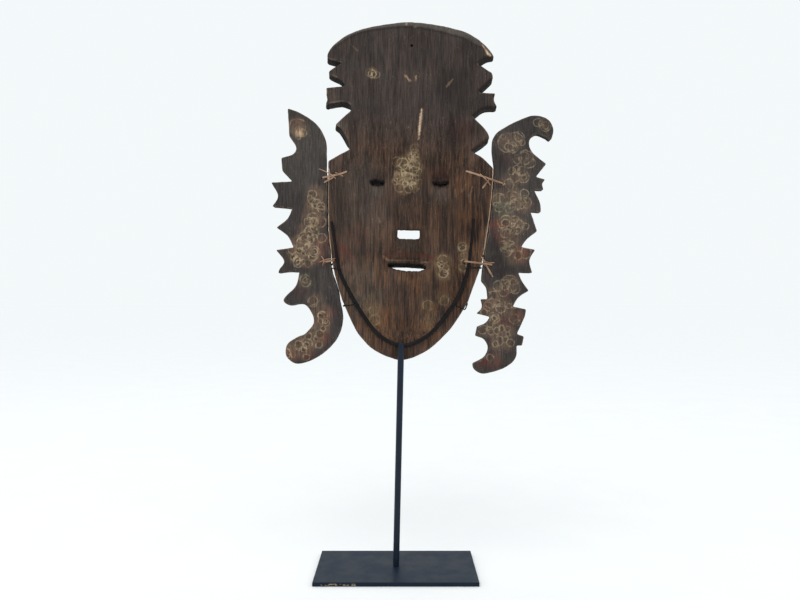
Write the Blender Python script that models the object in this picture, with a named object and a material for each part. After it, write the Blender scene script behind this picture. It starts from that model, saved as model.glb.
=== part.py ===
"""A carved wooden mask with two ear panels tied to its sides, held by the wire cradle of a steel stand.

The origin is the centre of the base plate's underside, with +Z up. The mask's carved face looks along +Y
and its hollow back along -Y, where the rod stands. +X is to the right of someone who looks at the back.
"""

import math

import bpy
import numpy as np
from mathutils import Vector
from mathutils.geometry import delaunay_2d_cdt

# Driving dimensions, in metres.
PLATE_WIDTH = 0.200
PLATE_DEPTH = 0.100
PLATE_THICKNESS = 0.005
ROD_DIAMETER = 0.008
ROD_LENGTH = 0.283
CRADLE_DIAMETER = 0.005
HOOK_DIAMETER = 0.0016
HOOK_REACH = 0.007
MASK_HEIGHT = 0.437
BOARD_THICKNESS = 0.018
FACE_BULGE = 0.014
HOLLOW_DEPTH = 0.012
NOSE_HEIGHT = 0.021
EAR_THICKNESS = 0.012
EAR_SETBACK = 0.001
EAR_GAP = 0.0028
TIE_WIDTH = 0.0024
TIE_THICKNESS = 0.0011
TIE_HOLE = 0.0052
TIE_BEND = 0.0016
HANGING_HOLE = 0.0036
LEAN = math.radians(1.3)

# Clearances and small edge breaks, in metres.
TOUCH_GAP = 0.0003
EASED_EDGE = 0.0012
METAL_BREAK = 0.0005
ROD_OVERRUN = 0.0008

# The mask and its ears are drawn in shares of the mask's height: DRAWN_HEIGHT units from chin to crown.
# x is counted from the rod's axis and z from the tip of the chin.
DRAWN_HEIGHT = 437
UNIT = MASK_HEIGHT / DRAWN_HEIGHT
MIDLINE = 5

# A stroke starts where the one before it ends. One of two points is straight, a longer one is a curve.
CROWN_AND_LOBES = (
    ((-103, 386), (-103, 391), (-96, 404.5), (-79, 418), (-57, 427), (-30, 433), (-3, 437)),
    ((20, 436), (48, 432), (76, 425), (95, 414), (108, 401), (112, 394)),
    ((103, 392), (91, 384)),
    ((110, 374),),
    ((111, 367), (109, 363)),
    ((93, 347),),
    ((115, 348),),
    ((113, 341), (114, 336)),
    ((117, 331), (116, 328)),
    ((100, 326), (86, 315)),
    ((101, 302), (108, 290), (101, 281), (86, 270)),
    ((99, 263), (113.5, 249.5)),
)
RIGHT_SIDE = ((113.5, 249.5), (113.5, 232), (111.5, 201), (108, 168), (102, 130), (92, 98), (84.5, 76))
CHIN = (((67.5, 47.5), (51.5, 28.5), (30.5, 11), (1, 0), (-31, 10), (-50.5, 26.5), (-62.5, 44.5), (-77, 75)),)
LEFT_SIDE = ((-77, 75), (-85.5, 101), (-92, 130), (-96.5, 164), (-98, 204), (-99, 254))
LEFT_LOBES = (
    ((-89, 260), (-71, 270)),
    ((-75, 283), (-84, 297), (-91, 301)),
    ((-70, 321),),
    ((-73, 328), (-82, 331), (-104, 327)),
    ((-101, 336),),
    ((-104, 348),),
    ((-79, 351),),
    ((-84, 358), (-100, 366)),
    ((-100, 370), (-84, 381)),
    ((-103, 386),),
)

# The ears, from the lower end of the edge along the mask, round the teeth, to that edge's upper end.
LEFT_EAR_FOLLOWS = (78, 228)
LEFT_EAR = (
    ((-76, 50), (-84, 24), (-106, 2), (-132, -8), (-147, 1), (-147, 16), (-135, 26), (-123, 32),
     (-113, 48), (-124, 68), (-144, 67), (-153, 73), (-148, 81), (-137, 93), (-133, 110)),
    ((-148, 110), (-160, 108)),
    ((-159, 113), (-153, 124), (-164, 138)),
    ((-141, 142),),
    ((-150, 157), (-164, 167)),
    ((-150, 179), (-144, 192)),
    ((-170, 194),),
    ((-163, 208), (-172, 225)),
    ((-145, 227),),
    ((-158, 240),),
    ((-160, 257),),
    ((-145, 262), (-141, 271), (-150, 285)),
    ((-153, 321),),
    ((-136, 315), (-115, 301), (-104, 283), (-102, 262), (-101.5, 242)),
)
RIGHT_EAR_FOLLOWS = (160, 236)
RIGHT_EAR = (
    ((106, 128), (102, 104)),
    ((109, 95), (111, 81)),
    ((102, 81),),
    ((104, 70), (97, 62)),
    ((115, 58),),
    ((109, 50), (98, 45)),
    ((96, 33),),
    ((107, 29), (113, 18), (108, 6), (93, -3)),
    ((96, -11), (109, -15), (134, -7), (148, 6), (149, 22)),
    ((156, 22),),
    ((158, 34),),
    ((149, 37),),
    ((158, 58), (160, 69)),
    ((143, 72),),
    ((150, 84), (163, 93)),
    ((154, 105), (149, 116)),
    ((167, 116),),
    ((163, 132), (170, 146)),
    ((152, 149),),
    ((159, 159), (172, 170)),
    ((163, 195),),
    ((176, 194),),
    ((175, 206), (167, 223)),
    ((179, 223),),
    ((177, 231),),
    ((181, 237),),
    ((169, 240),),
    ((182, 257),),
    ((164, 271), (159, 285), (168, 295), (181, 291), (187, 288), (190, 302), (182, 315), (164, 319),
     (149, 314), (131, 305), (115, 293), (112, 275), (115, 252)),
)

# The cradle's bar, along its middle, from its left end round the chin to its right end.
CRADLE_ROUTE = (
    (-92.5, 176), (-88, 150), (-84, 126), (-80, 110), (-71, 92), (-60, 73), (-49, 56), (-36, 39),
    (-22, 27), (-6, 20), (8, 19.5), (22, 25), (36, 34), (47, 46), (57, 60), (66, 73), (74, 88),
    (80, 105), (84, 122), (86, 140), (88, 161), (89.5, 184),
)
CRADLE_BOTTOM = 19.5

# The openings that go through the mask, as they show on its back, and how each one shifts in depth.
LEFT_EYE = (
    (-44, 228), (-40, 226.5), (-35, 227), (-29.5, 227.5), (-27, 230), (-28.5, 232.5), (-32, 231.5),
    (-36, 232.5), (-39, 233.5), (-44.5, 232),
)
RIGHT_EYE = (
    (37, 231.5), (39.5, 229.5), (45, 228), (51, 228), (55.5, 230), (56.5, 233.5), (51, 233),
    (46.5, 232), (41.5, 233.5),
)
MOUTH = (
    (-20, 124), (-18, 120.5), (-10, 117.5), (5, 115.5), (20, 115.5), (29, 118), (30.5, 122),
    (27, 124.5), (10, 125.5), (-5, 126), (-17.5, 125.5),
)
NOSE_SLOT = (-8, 21.5, 157.5, 169.5)
EYE_DROP = 5.5
MOUTH_PINCH = 0.5
HANGING_HOLE_AT = (5, 405)

# The hollow back: a rim that is widest at the chin, then a curved fall, fading out above the brow.
RIM_WIDTH = 10
CHIN_RIM = 12
CHIN_RIM_REACH = 40
HOLLOW_RUN = 34
HOLLOW_TOP = (235, 330)

# Chisel cuts in the hollow: middle x, z of the deepest line, half width, run above, run below and depth.
CUTS = (
    (6.5, 170, 17, 62, 34, 8.0),
    (5, 122.5, 29, 17, 13, 4.5),
    (-36, 230, 9, 12, 11, 3.5),
    (46.5, 230, 10, 15, 14, 4.5),
)
CUT_SIDE = 6

# The carved front: half width and half height of each form about its middle.
EYES = ((-36, 225), (46.5, 225))
EYE_FORM = (27, 12)
EYE_RISE = 0.008
SOCKET_SINK = 0.004
BROW_FORM = (31, 19)
BROW_RISE = 0.005
NOSE_SPAN = (177, 252)
NOSE_HALF_WIDTHS = (21, 8)
NOSE_UNDERSIDE = 7
LIPS_AT = (5, 120.5)
LIPS_FORM = (39, 17)
LIPS_RISE = 0.007

# The ties: the hole in the mask, the hole in the ear, then the route. ON lies on the wood's back, OVER
# crosses another strand, BAR crosses the cradle's bar, DEEP lies on the ear's back and FRONT on the front.
ON, OVER, BAR, DEEP, FRONT = range(5)
TIES = {
    "tie_upper_left": (-1, (-90.5, 233.5), (-106.5, 232), (
        (-74.5, 240.5, OVER), (-84, 236.5, OVER), ("ear", OVER), ("ear", FRONT), ("mask", FRONT),
        ("mask", ON), (-103.5, 226, ON),
    )),
    "tie_lower_left": (-1, (-86.8, 126.5), (-101.8, 124), (
        (-108, 129, FRONT), ("ear", FRONT), ("ear", ON), ("mask", ON), ("mask", FRONT), (-99, 117, FRONT),
    )),
    "tie_upper_right": (1, (107, 234), (127, 229.5), (
        (78, 244.5, OVER), (92, 240.5, OVER), ("ear", OVER), ("ear", FRONT), ("mask", FRONT),
        ("mask", ON), (100, 223, ON),
    )),
    "tie_lower_right": (1, (78.2, 128.5), (114.5, 125), (
        (116, 109.5, DEEP), (107.5, 124, DEEP), (103.6, 126.5, DEEP), (103.6, 126.5, FRONT),
        ("mask", FRONT), ("mask", BAR), ("ear", BAR), ("ear", FRONT), (121, 122, FRONT),
    )),
}
# The hooks: side, height on the bar, height at the mask's edge, height over the front and stand-off.
HOOKS = {
    "hook_upper_left": (-1, 115, 116, 117, 0.1),
    "hook_lower_left": (-1, 70, 68, 69, 0.3),
    "hook_upper_right": (1, 120, 121, 121, 0.6),
    "hook_lower_right": (1, 72, 67.5, 77, 3.5),
}

# Lengths of the facets, in drawn units.
OUTLINE_STEP = 9
MASK_GRID = 10
EAR_GRID = 15

MASK_BACK = ROD_DIAMETER / 2 + CRADLE_DIAMETER + 2 * TOUCH_GAP
CRADLE_Y = ROD_DIAMETER / 2 + TOUCH_GAP + CRADLE_DIAMETER / 2
CHIN_HEIGHT = ROD_LENGTH - ROD_OVERRUN - CRADLE_DIAMETER / 2 - CRADLE_BOTTOM * UNIT


def clear_scene():
    for old in list(bpy.data.objects):
        bpy.data.objects.remove(old, do_unlink=True)


def material(name, colour, roughness, metallic):
    made = bpy.data.materials.new(name)
    made.use_nodes = True
    shader = made.node_tree.nodes["Principled BSDF"]
    shader.inputs["Base Color"].default_value = (*colour, 1.0)
    shader.inputs["Roughness"].default_value = roughness
    shader.inputs["Metallic"].default_value = metallic
    return made


def place(name, data, finish, parent):
    made = bpy.data.objects.new(name, data)
    bpy.context.scene.collection.objects.link(made)
    data.materials.append(finish)
    made.parent = parent
    return made


def empty(name, parent=None):
    made = bpy.data.objects.new(name, None)
    bpy.context.scene.collection.objects.link(made)
    made.parent = parent
    return made


def ramp(value, start, end):
    """0 at start, 1 at end, and a straight line between them."""
    return np.clip((value - start) / (end - start), 0.0, 1.0)


def soft_ramp(value, start, end):
    share = ramp(value, start, end)
    return share * share * (3 - 2 * share)


def crown_curve(share):
    """A rounded rise: steep at share 0, level from share 1 on."""
    return 1 - (1 - np.clip(share, 0.0, 1.0)) ** 2


def smooth_run(points, step):
    """Points along a curve through the given ones, without the last, about a step apart."""
    points = np.array(points, float)
    before = 2 * points[0] - points[1]
    after = 2 * points[-1] - points[-2]
    padded = np.vstack([before, points, after])
    run = []
    for i in range(1, len(padded) - 2):
        p0, p1, p2, p3 = padded[i - 1 : i + 3]
        pieces = max(1, round(np.linalg.norm(p2 - p1) / step))
        for share in np.arange(pieces) / pieces:
            slope1 = (p2 - p0) / 2
            slope2 = (p3 - p1) / 2
            a = 2 * share**3 - 3 * share**2 + 1
            b = share**3 - 2 * share**2 + share
            c = -2 * share**3 + 3 * share**2
            d = share**3 - share**2
            run.append(a * p1 + b * slope1 + c * p2 + d * slope2)
    return run


def closed_outline(start, strokes, step):
    """The loop of points that the strokes draw, from start back to start."""
    loop = []
    for stroke in strokes:
        loop += smooth_run((start, *stroke), step)
        start = stroke[-1]
    return np.array(loop)


def counterclockwise(loop):
    ahead = np.roll(loop, -1, axis=0)
    area = (loop[:, 0] * ahead[:, 1] - ahead[:, 0] * loop[:, 1]).sum()
    return loop if area > 0 else loop[::-1]


def inside(points, loop):
    """Which points are inside the loop, by counting the edges to the right of each."""
    x, z = points[:, 0, None], points[:, 1, None]
    ax, az = loop[:, 0], loop[:, 1]
    bx, bz = np.roll(ax, -1), np.roll(az, -1)
    crosses = (az > z) != (bz > z)
    rise = np.where(bz == az, 1.0, bz - az)
    at = ax + (z - az) * (bx - ax) / rise
    return (crosses & (x < at)).sum(axis=1) % 2 == 1


def edge_distance(points, loop):
    """Distance from each point to the nearest edge of the loop."""
    ahead = np.roll(loop, -1, axis=0)
    along = ahead - loop
    offset = points[:, None, :] - loop
    share = np.clip((offset * along).sum(axis=2) / (along**2).sum(axis=1), 0.0, 1.0)
    gap = offset - share[:, :, None] * along
    return np.sqrt((gap**2).sum(axis=2)).min(axis=1)


def outward(loop):
    """The direction away from the board at each point of a counterclockwise loop."""
    along = np.roll(loop, -1, axis=0) - loop
    along /= np.linalg.norm(along, axis=1)[:, None]
    both = along + np.roll(along, 1, axis=0)
    both /= np.maximum(np.linalg.norm(both, axis=1), 1e-6)[:, None]
    return np.column_stack([both[:, 1], -both[:, 0]])


def ring(middle, half_width, half_height, count):
    turn = 2 * np.pi * np.arange(count) / count
    return np.column_stack([middle[0] + half_width * np.cos(turn), middle[1] + half_height * np.sin(turn)])


def sheet(loops, curves, spacing):
    """A flat triangulation inside the first loop and outside the others: its points and its triangles.

    The loops' points come first, in order. The curves' points let the carved forms keep their edges.
    """
    fixed = np.vstack([*loops, *curves])
    low, high = loops[0].min(axis=0), loops[0].max(axis=0)
    rows = np.arange(low[1] + spacing / 2, high[1], spacing * 0.87)
    grid = [
        (x + (i % 2) * spacing / 2, z)
        for i, z in enumerate(rows)
        for x in np.arange(low[0] + spacing / 2, high[0], spacing)
    ]
    grid = np.array(grid)
    keep = inside(grid, loops[0])
    for hole in loops[1:]:
        keep &= ~inside(grid, hole)
    grid = grid[keep]
    nearest = np.sqrt(((grid[:, None, :] - fixed) ** 2).sum(axis=2)).min(axis=1)
    for loop in loops:
        nearest = np.minimum(nearest, edge_distance(grid, loop) * 1.2)
    grid = grid[nearest > spacing * 0.6]
    points = np.vstack([fixed, grid])
    edges = []
    first = 0
    for loop in loops:
        count = len(loop)
        edges += [(first + i, first + (i + 1) % count) for i in range(count)]
        first += count
    found = delaunay_2d_cdt([Vector(p) for p in points], edges, [], 0, 1e-7)
    flat, triangles, came_from = found[0], found[2], found[3]
    flat = np.array([tuple(p) for p in flat])
    triangles = np.array([tuple(t) for t in triangles])
    middles = flat[triangles].mean(axis=1)
    keep = inside(middles, loops[0])
    for hole in loops[1:]:
        keep &= ~inside(middles, hole)
    place_of = {old: new for new, olds in enumerate(came_from) for old in olds}
    order = [place_of[i] for i in range(first)]
    return flat, triangles[keep], order


def board(name, rings, back, front, curves, spacing):
    """A carved board as one closed mesh: a back sheet, a front sheet and the walls round every loop.

    rings holds, for each loop, its outlines from back to front, with the depth of each point. The first
    loop is the board's own edge and the others are openings.
    """
    back_loops = [steps[0][0] for steps in rings]
    front_loops = [steps[-1][0] for steps in rings]
    sheets = [sheet(back_loops, curves[0], spacing), sheet(front_loops, curves[1], spacing)]
    points, faces, ends = [], [], []
    for (flat, triangles, order), depth, turned in zip(sheets, (back, front), (False, True)):
        first = len(points)
        points += [(x, y, z) for (x, z), y in zip(flat, depth(flat))]
        faces += [tuple(first + i for i in (t[::-1] if turned else t)) for t in triangles]
        ends.append([first + i for i in order])
    start = 0
    for number, steps in enumerate(rings):
        count = len(steps[0][0])
        levels = [ends[0][start : start + count]]
        for flat, depth in steps[1:-1]:
            levels.append(list(range(len(points), len(points) + count)))
            points += [(x, y, z) for (x, z), y in zip(flat, depth)]
        levels.append(ends[1][start : start + count])
        for near, far in zip(levels, levels[1:]):
            for i in range(count):
                j = (i + 1) % count
                wall = (near[i], far[i], far[j], near[j])
                faces.append(wall if number == 0 else wall[::-1])
        start += count
    used = sorted({i for face in faces for i in face})
    new_place = {old: new for new, old in enumerate(used)}
    mesh = bpy.data.meshes.new(name)
    mesh.from_pydata(
        [tuple(UNIT * c if k != 1 else c for k, c in enumerate(points[i])) for i in used],
        [],
        [tuple(new_place[i] for i in face) for face in faces],
    )
    mesh.update()
    return mesh


def mask_outline():
    strokes = (*CROWN_AND_LOBES, RIGHT_SIDE[1:], *CHIN, LEFT_SIDE[1:], *LEFT_LOBES)
    start = CROWN_AND_LOBES[0][0]
    strokes = (CROWN_AND_LOBES[0][1:], *strokes[1:])
    return counterclockwise(closed_outline(start, strokes, OUTLINE_STEP))


def side_x(side, height):
    """The x of the mask's own edge at a height, on the left (-1) or the right (1)."""
    points = sorted(RIGHT_SIDE if side > 0 else LEFT_SIDE, key=lambda p: p[1])
    return float(np.interp(height, [p[1] for p in points], [p[0] for p in points]))


def ear_outline(side):
    low, high = RIGHT_EAR_FOLLOWS if side > 0 else LEFT_EAR_FOLLOWS
    heights = np.linspace(high, low, 9)
    gap = EAR_GAP / UNIT
    edge = [(side_x(side, z) + side * gap, z) for z in heights]
    strokes = (*(RIGHT_EAR if side > 0 else LEFT_EAR), (edge[0],), edge[1:])
    return counterclockwise(closed_outline(edge[-1], strokes, OUTLINE_STEP))


MASK_OUTLINE = mask_outline()


def back_depth(points):
    """How far the back is carved in, in metres, at drawn points."""
    x, z = points[:, 0], points[:, 1]
    rim = RIM_WIDTH + CHIN_RIM * np.exp(-((z / CHIN_RIM_REACH) ** 2))
    inward = edge_distance(points, MASK_OUTLINE)
    fade = 1 - soft_ramp(z, *HOLLOW_TOP)
    depth = HOLLOW_DEPTH * crown_curve((inward - rim) / HOLLOW_RUN) * fade
    for middle, line, half, above, below, cut in CUTS:
        across = 1 - ramp(np.abs(x - middle), half - CUT_SIDE / 2, half + CUT_SIDE / 2)
        along = 1 - np.where(z > line, ramp(z, line, line + above), ramp(-z, -line, below - line))
        depth = depth + cut * UNIT * across * along
    worn = 6 * UNIT * ramp(x, 78, 112) * ramp(z, 262, 292)
    return MASK_BACK + depth + worn


def in_form(points, middle, form):
    """Distance from a form's middle as a share of its size: 1 on the edge of the ellipse."""
    return np.hypot((points[:, 0] - middle[0]) / form[0], (points[:, 1] - middle[1]) / form[1])


def nose_rise(points):
    x, z = points[:, 0], points[:, 1]
    up = ramp(z, *NOSE_SPAN)
    half = NOSE_HALF_WIDTHS[0] + (NOSE_HALF_WIDTHS[1] - NOSE_HALF_WIDTHS[0]) * up
    across = 1 - ramp(np.abs(x - MIDLINE), 0.35 * half, half)
    height = NOSE_HEIGHT * (1 - 0.8 * up) * (z < NOSE_SPAN[1] + 1)
    under = ramp(z, NOSE_SPAN[0] - NOSE_UNDERSIDE, NOSE_SPAN[0])
    return height * across * under


def front_depth(points):
    """The y of the carved front, in metres, at drawn points."""
    z = points[:, 1]
    inward = edge_distance(points, MASK_OUTLINE)
    face = FACE_BULGE * crown_curve(inward / 75) * (1 - 0.75 * soft_ramp(z, 255, 330))
    depth = BOARD_THICKNESS + face + nose_rise(points)
    for middle in EYES:
        share = in_form(points, middle, EYE_FORM)
        depth = depth - SOCKET_SINK * (1 - ramp(share, 1.0, 1.7))
        depth = depth + EYE_RISE * np.clip(1 - share**2, 0.0, 1.0)
        brow = in_form(points, (middle[0], middle[1] + 4), BROW_FORM)
        over = ramp(z, middle[1] + 8, middle[1] + 16)
        depth = depth + BROW_RISE * (1 - ramp(np.abs(brow - 1.25), 0.12, 0.4)) * over
    lips = in_form(points, LIPS_AT, LIPS_FORM)
    depth = depth + LIPS_RISE * (1 - ramp(np.abs(lips - 0.55), 0.1, 0.45))
    return MASK_BACK + depth


def mask_rings():
    """The outlines of the mask's edge from back to front: eased back edge, two wall lines, eased front."""
    loop = MASK_OUTLINE
    away = outward(loop)
    x, z = loop[:, 0], loop[:, 1]
    crown = ramp(z, 392, 406) * (1 - 0.8 * ramp(x, 85, 104))
    lobes = ramp(z, 255, 265) * (1 - crown)
    lower = 1 - ramp(z, 85, 120)
    crown_bevel = 7.5 + 2.5 * np.clip(x / 60, -1.0, 1.0)
    bevel = 1.2 + (crown_bevel - 1.2) * crown + 2.3 * lower - 0.6 * lobes
    bevel_depth = 1.5 + 4 * crown + 1.0 * lower - 0.6 * lobes
    left = ramp(-x, 50, 65) * ramp(z, 260, 268) * (1 - ramp(z, 392, 398))
    under_left = left * ramp(-away[:, 1], -0.4, 0.3) * ramp(-away[:, 0], -0.6, 0.1)
    lowest_lobe = 1 - ramp(np.abs(z - 287), 16, 24)
    prong = 1 - ramp(np.abs(z - 326), 6, 14)
    flare = under_left * (2.0 + 2.2 * lowest_lobe + 1.5 * prong)
    flare = flare + ramp(-away[:, 1], 0.1, 0.6) * ramp(z, 262, 275) * ramp(x, 50, 65)
    back_loop = loop - away * bevel[:, None]
    wall_front = loop + away * flare[:, None]
    front_loop = wall_front - away * 1.5
    wall_back_y = back_depth(loop) + bevel_depth * UNIT
    wall_front_y = np.full(len(loop), MASK_BACK + BOARD_THICKNESS - 2 * UNIT)
    return [(back_loop, None), (loop, wall_back_y), (wall_front, wall_front_y), (front_loop, None)]


def opening(loop, front_loop):
    return [(counterclockwise(loop), None), (counterclockwise(front_loop), None)]


def slot_outline(left, right, low, high, corner):
    """A slot with rounded lower corners."""
    turn = np.radians([180, 210, 240, 270])
    lower_left = [(left + corner + corner * math.cos(a), low + corner + corner * math.sin(a)) for a in turn]
    lower_right = [(right + left - x, z) for x, z in reversed(lower_left)]
    middle = (left + right) / 2
    return np.array([*lower_left, (middle, low), *lower_right, (right, high), (middle, high), (left, high)])


def mask_openings():
    found = []
    for eye in (LEFT_EYE, RIGHT_EYE):
        eye = np.array(eye)
        found.append(opening(eye, eye - (0, EYE_DROP)))
    nose = slot_outline(*NOSE_SLOT, 4)
    found.append(opening(nose, nose + (0, 1)))
    mouth = np.array(MOUTH)
    low = mouth[:, 1].min()
    pinched = np.column_stack([mouth[:, 0], low + (mouth[:, 1] - low) * MOUTH_PINCH])
    found.append(opening(mouth, pinched))
    hanging = ring(HANGING_HOLE_AT, HANGING_HOLE / UNIT / 2, HANGING_HOLE / UNIT / 2, 8)
    found.append(opening(hanging, hanging))
    for _, in_mask, _, _ in TIES.values():
        found.append(opening(tie_hole(in_mask), tie_hole(in_mask)))
    return found


def tie_hole(middle):
    radius = TIE_HOLE / UNIT / 2
    return ring(middle, radius, radius, 8)


def clear_of(points, loops, gap):
    """The points that stay inside the mask and keep a gap to its edge and to every opening."""
    keep = inside(points, MASK_OUTLINE) & (edge_distance(points, MASK_OUTLINE) > gap)
    for loop in loops:
        keep &= ~inside(points, loop) & (edge_distance(points, loop) > gap)
    return points[keep]


def back_curves(loops):
    """Points on the edges of the hollow and of the chisel cuts."""
    away = outward(MASK_OUTLINE)
    z = MASK_OUTLINE[:, 1]
    rim = RIM_WIDTH + CHIN_RIM * np.exp(-((z / CHIN_RIM_REACH) ** 2))
    lower = z < HOLLOW_TOP[0]
    curves = [(MASK_OUTLINE - away * (rim + more)[:, None])[lower] for more in (0, 8)]
    for middle, line, half, above, below, _ in CUTS:
        for offset in (half - CUT_SIDE / 2, half + CUT_SIDE / 2):
            heights = np.arange(line - below, line + above, 8.0)
            for side in (-1, 1):
                curves.append(np.column_stack([np.full(len(heights), middle + side * offset), heights]))
        across = np.linspace(middle - half + 4, middle + half - 4, 4)
        curves.append(np.column_stack([across, np.full(4, line + above)]))
        curves.append(np.column_stack([across, np.full(4, line - below)]))
    return [clear_of(curve, loops, 3) for curve in curves]


def front_curves(loops):
    """Points on the edges of the nose, eyes, brows and lips."""
    curves = []
    heights = np.linspace(*NOSE_SPAN, 11)
    halves = np.linspace(*NOSE_HALF_WIDTHS, 11)
    for share in (1.0, 0.35):
        for side in (-1, 1):
            curves.append(np.column_stack([MIDLINE + side * share * halves, heights]))
    under = np.linspace(-NOSE_HALF_WIDTHS[0], NOSE_HALF_WIDTHS[0], 7) + MIDLINE
    curves.append(np.column_stack([under, np.full(7, NOSE_SPAN[0] - NOSE_UNDERSIDE)]))
    for middle in EYES:
        curves.append(ring(middle, *EYE_FORM, 16))
        curves.append(ring(middle, 0.62 * EYE_FORM[0], 0.62 * EYE_FORM[1], 10))
        arc = ring((middle[0], middle[1] + 4), 1.25 * BROW_FORM[0], 1.25 * BROW_FORM[1], 20)
        curves.append(arc[arc[:, 1] > middle[1] + 16])
    for share in (1.0, 0.55):
        curves.append(ring(LIPS_AT, share * LIPS_FORM[0], share * LIPS_FORM[1], 20))
    apart = []
    for curve in curves:
        kept = [p for p in clear_of(curve, loops, 3) if all(np.hypot(*(p - q)) > 3 for q in apart)]
        apart += kept
        if kept:
            apart_curve = np.array(kept)
            yield apart_curve


def make_mask(finish, parent):
    rings = [mask_rings(), *mask_openings()]
    back_loops = [steps[0][0] for steps in rings[1:]]
    front_loops = [steps[-1][0] for steps in rings[1:]]
    curves = (back_curves(back_loops), list(front_curves(front_loops)))
    mesh = board("mask", rings, back_depth, front_depth, curves, MASK_GRID)
    made = place("mask", mesh, finish, parent)
    made.location = (0, 0, CHIN_HEIGHT)
    return made


def make_ear(name, side, finish, parent):
    loop = ear_outline(side)
    away = outward(loop)
    back_y = MASK_BACK + EAR_SETBACK
    front_y = back_y + EAR_THICKNESS
    eased = EASED_EDGE / UNIT
    count = len(loop)
    rings = [[
        (loop - away * eased, None),
        (loop, np.full(count, back_y + EASED_EDGE)),
        (loop, np.full(count, front_y - EASED_EDGE)),
        (loop - away * eased, None),
    ]]
    for tie_side, _, in_ear, _ in TIES.values():
        if tie_side == side:
            rings.append(opening(tie_hole(in_ear), tie_hole(in_ear)))
    mesh = board(
        name,
        rings,
        lambda points: np.full(len(points), back_y),
        lambda points: np.full(len(points), front_y),
        ([], []),
        EAR_GRID,
    )
    made = place(name, mesh, finish, parent)
    made.location = (0, 0, CHIN_HEIGHT)
    return made


def rounded_route(points, radius):
    """The route with each corner rounded off, in steps of about 25 degrees."""
    points = [Vector(p) for p in points]
    route = [points[0]]
    for before, corner, after in zip(points, points[1:], points[2:]):
        back = (before - corner).normalized()
        ahead = (after - corner).normalized()
        reach = min(radius, 0.45 * (before - corner).length, 0.45 * (after - corner).length)
        first, last = corner + back * reach, corner + ahead * reach
        turns = max(1, round((math.pi - back.angle(ahead)) / math.radians(25)))
        for i in range(turns + 1):
            share = i / turns
            route.append(first * (1 - share) ** 2 + corner * 2 * share * (1 - share) + last * share**2)
    return [*route, points[-1]]


def strip(name, route, width, thickness, finish, parent):
    """A flat strip swept along a route, its width parallel to the board, closed at both ends."""
    points, faces = [], []
    wide = Vector((0, 0, 1))
    for i, at in enumerate(route):
        along = (route[min(i + 1, len(route) - 1)] - route[max(i - 1, 0)]).normalized()
        level = Vector((0, 1, 0)).cross(along)
        if level.length > 0.05:
            level.normalize()
            wide = level if level.dot(wide) > 0 else -level
        thin = along.cross(wide)
        for a, b in ((-1, -1), (1, -1), (1, 1), (-1, 1)):
            points.append(at + wide * (a * width / 2) + thin * (b * thickness / 2))
    for i in range(len(route) - 1):
        for k in range(4):
            a, b = 4 * i + k, 4 * i + (k + 1) % 4
            faces.append((a, b, b + 4, a + 4))
    last = 4 * (len(route) - 1)
    faces.append((3, 2, 1, 0))
    faces.append((last, last + 1, last + 2, last + 3))
    mesh = bpy.data.meshes.new(name)
    mesh.from_pydata([tuple(p) for p in points], [], faces)
    mesh.update()
    return place(name, mesh, finish, parent)


def taut_over_front(start, end, play):
    """Points of a strip drawn tight over the front from one place to another, without the first."""
    shares = np.linspace(0, 1, 25)
    flat = np.outer(1 - shares, start) + np.outer(shares, end)
    ear_front = MASK_BACK + EAR_SETBACK + EAR_THICKNESS
    over_mask = inside(flat, MASK_OUTLINE) | (edge_distance(flat, MASK_OUTLINE) < 1)
    depth = np.where(over_mask, front_depth(flat), ear_front) + play
    kept = [0]
    while kept[-1] < len(shares) - 1:
        here = kept[-1]
        slopes = (depth[here + 1 :] - depth[here]) / (shares[here + 1 :] - shares[here])
        steepest = np.flatnonzero(slopes > slopes.max() - 1e-6)
        kept.append(here + 1 + int(steepest[-1]))
    return [(*flat[i], depth[i]) for i in kept[1:]]


def make_tie(name, side, in_mask, in_ear, way, finish, parent):
    """One strip that goes from a loose end through the two holes, each stretch tight on what it crosses."""
    play = 1.3 * TOUCH_GAP + TIE_THICKNESS / 2
    shift = 0.15 * TIE_HOLE / UNIT
    holes = {
        "mask": (in_mask[0] + side * shift, in_mask[1]),
        "ear": (in_ear[0] - side * shift, in_ear[1]),
    }
    on = MASK_BACK - play
    levels = {
        ON: on,
        OVER: on - TIE_THICKNESS - 2 * TOUCH_GAP,
        BAR: CRADLE_Y - CRADLE_DIAMETER / 2 - play - TOUCH_GAP,
        DEEP: on + EAR_SETBACK,
    }
    drawn = []
    before = None
    for stop in way:
        at = holes[stop[0]] if stop[0] in holes else stop[:2]
        if stop[-1] != FRONT:
            drawn.append((*at, levels[stop[-1]]))
        elif before == FRONT:
            drawn += taut_over_front(drawn[-1][:2], at, play + TOUCH_GAP)
        else:
            drawn += taut_over_front(at, at, play + TOUCH_GAP)[-1:]
        before = stop[-1]
    route = rounded_route([(x * UNIT, y, z * UNIT) for x, z, y in drawn], TIE_BEND)
    made = strip(name, route, TIE_WIDTH, TIE_THICKNESS, finish, parent)
    made.location = (0, 0, CHIN_HEIGHT)
    return made


def wire(name, route, diameter, resolution, finish, parent):
    """A round bar along a route of points, capped at both ends."""
    curve = bpy.data.curves.new(name, "CURVE")
    curve.dimensions = "3D"
    curve.bevel_depth = diameter / 2
    curve.bevel_resolution = resolution
    curve.use_fill_caps = True
    spline = curve.splines.new("POLY")
    spline.points.add(len(route) - 1)
    for point, at in zip(spline.points, route):
        point.co = (*at, 1.0)
    return place(name, curve, finish, parent)


def make_cradle(finish, parent):
    last = CRADLE_ROUTE[-1]
    drawn = [*smooth_run(CRADLE_ROUTE, 9), np.array(last)]
    route = [(x * UNIT, CRADLE_Y, z * UNIT + CHIN_HEIGHT) for x, z in drawn]
    return wire("cradle", route, CRADLE_DIAMETER, 2, finish, parent)


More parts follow.
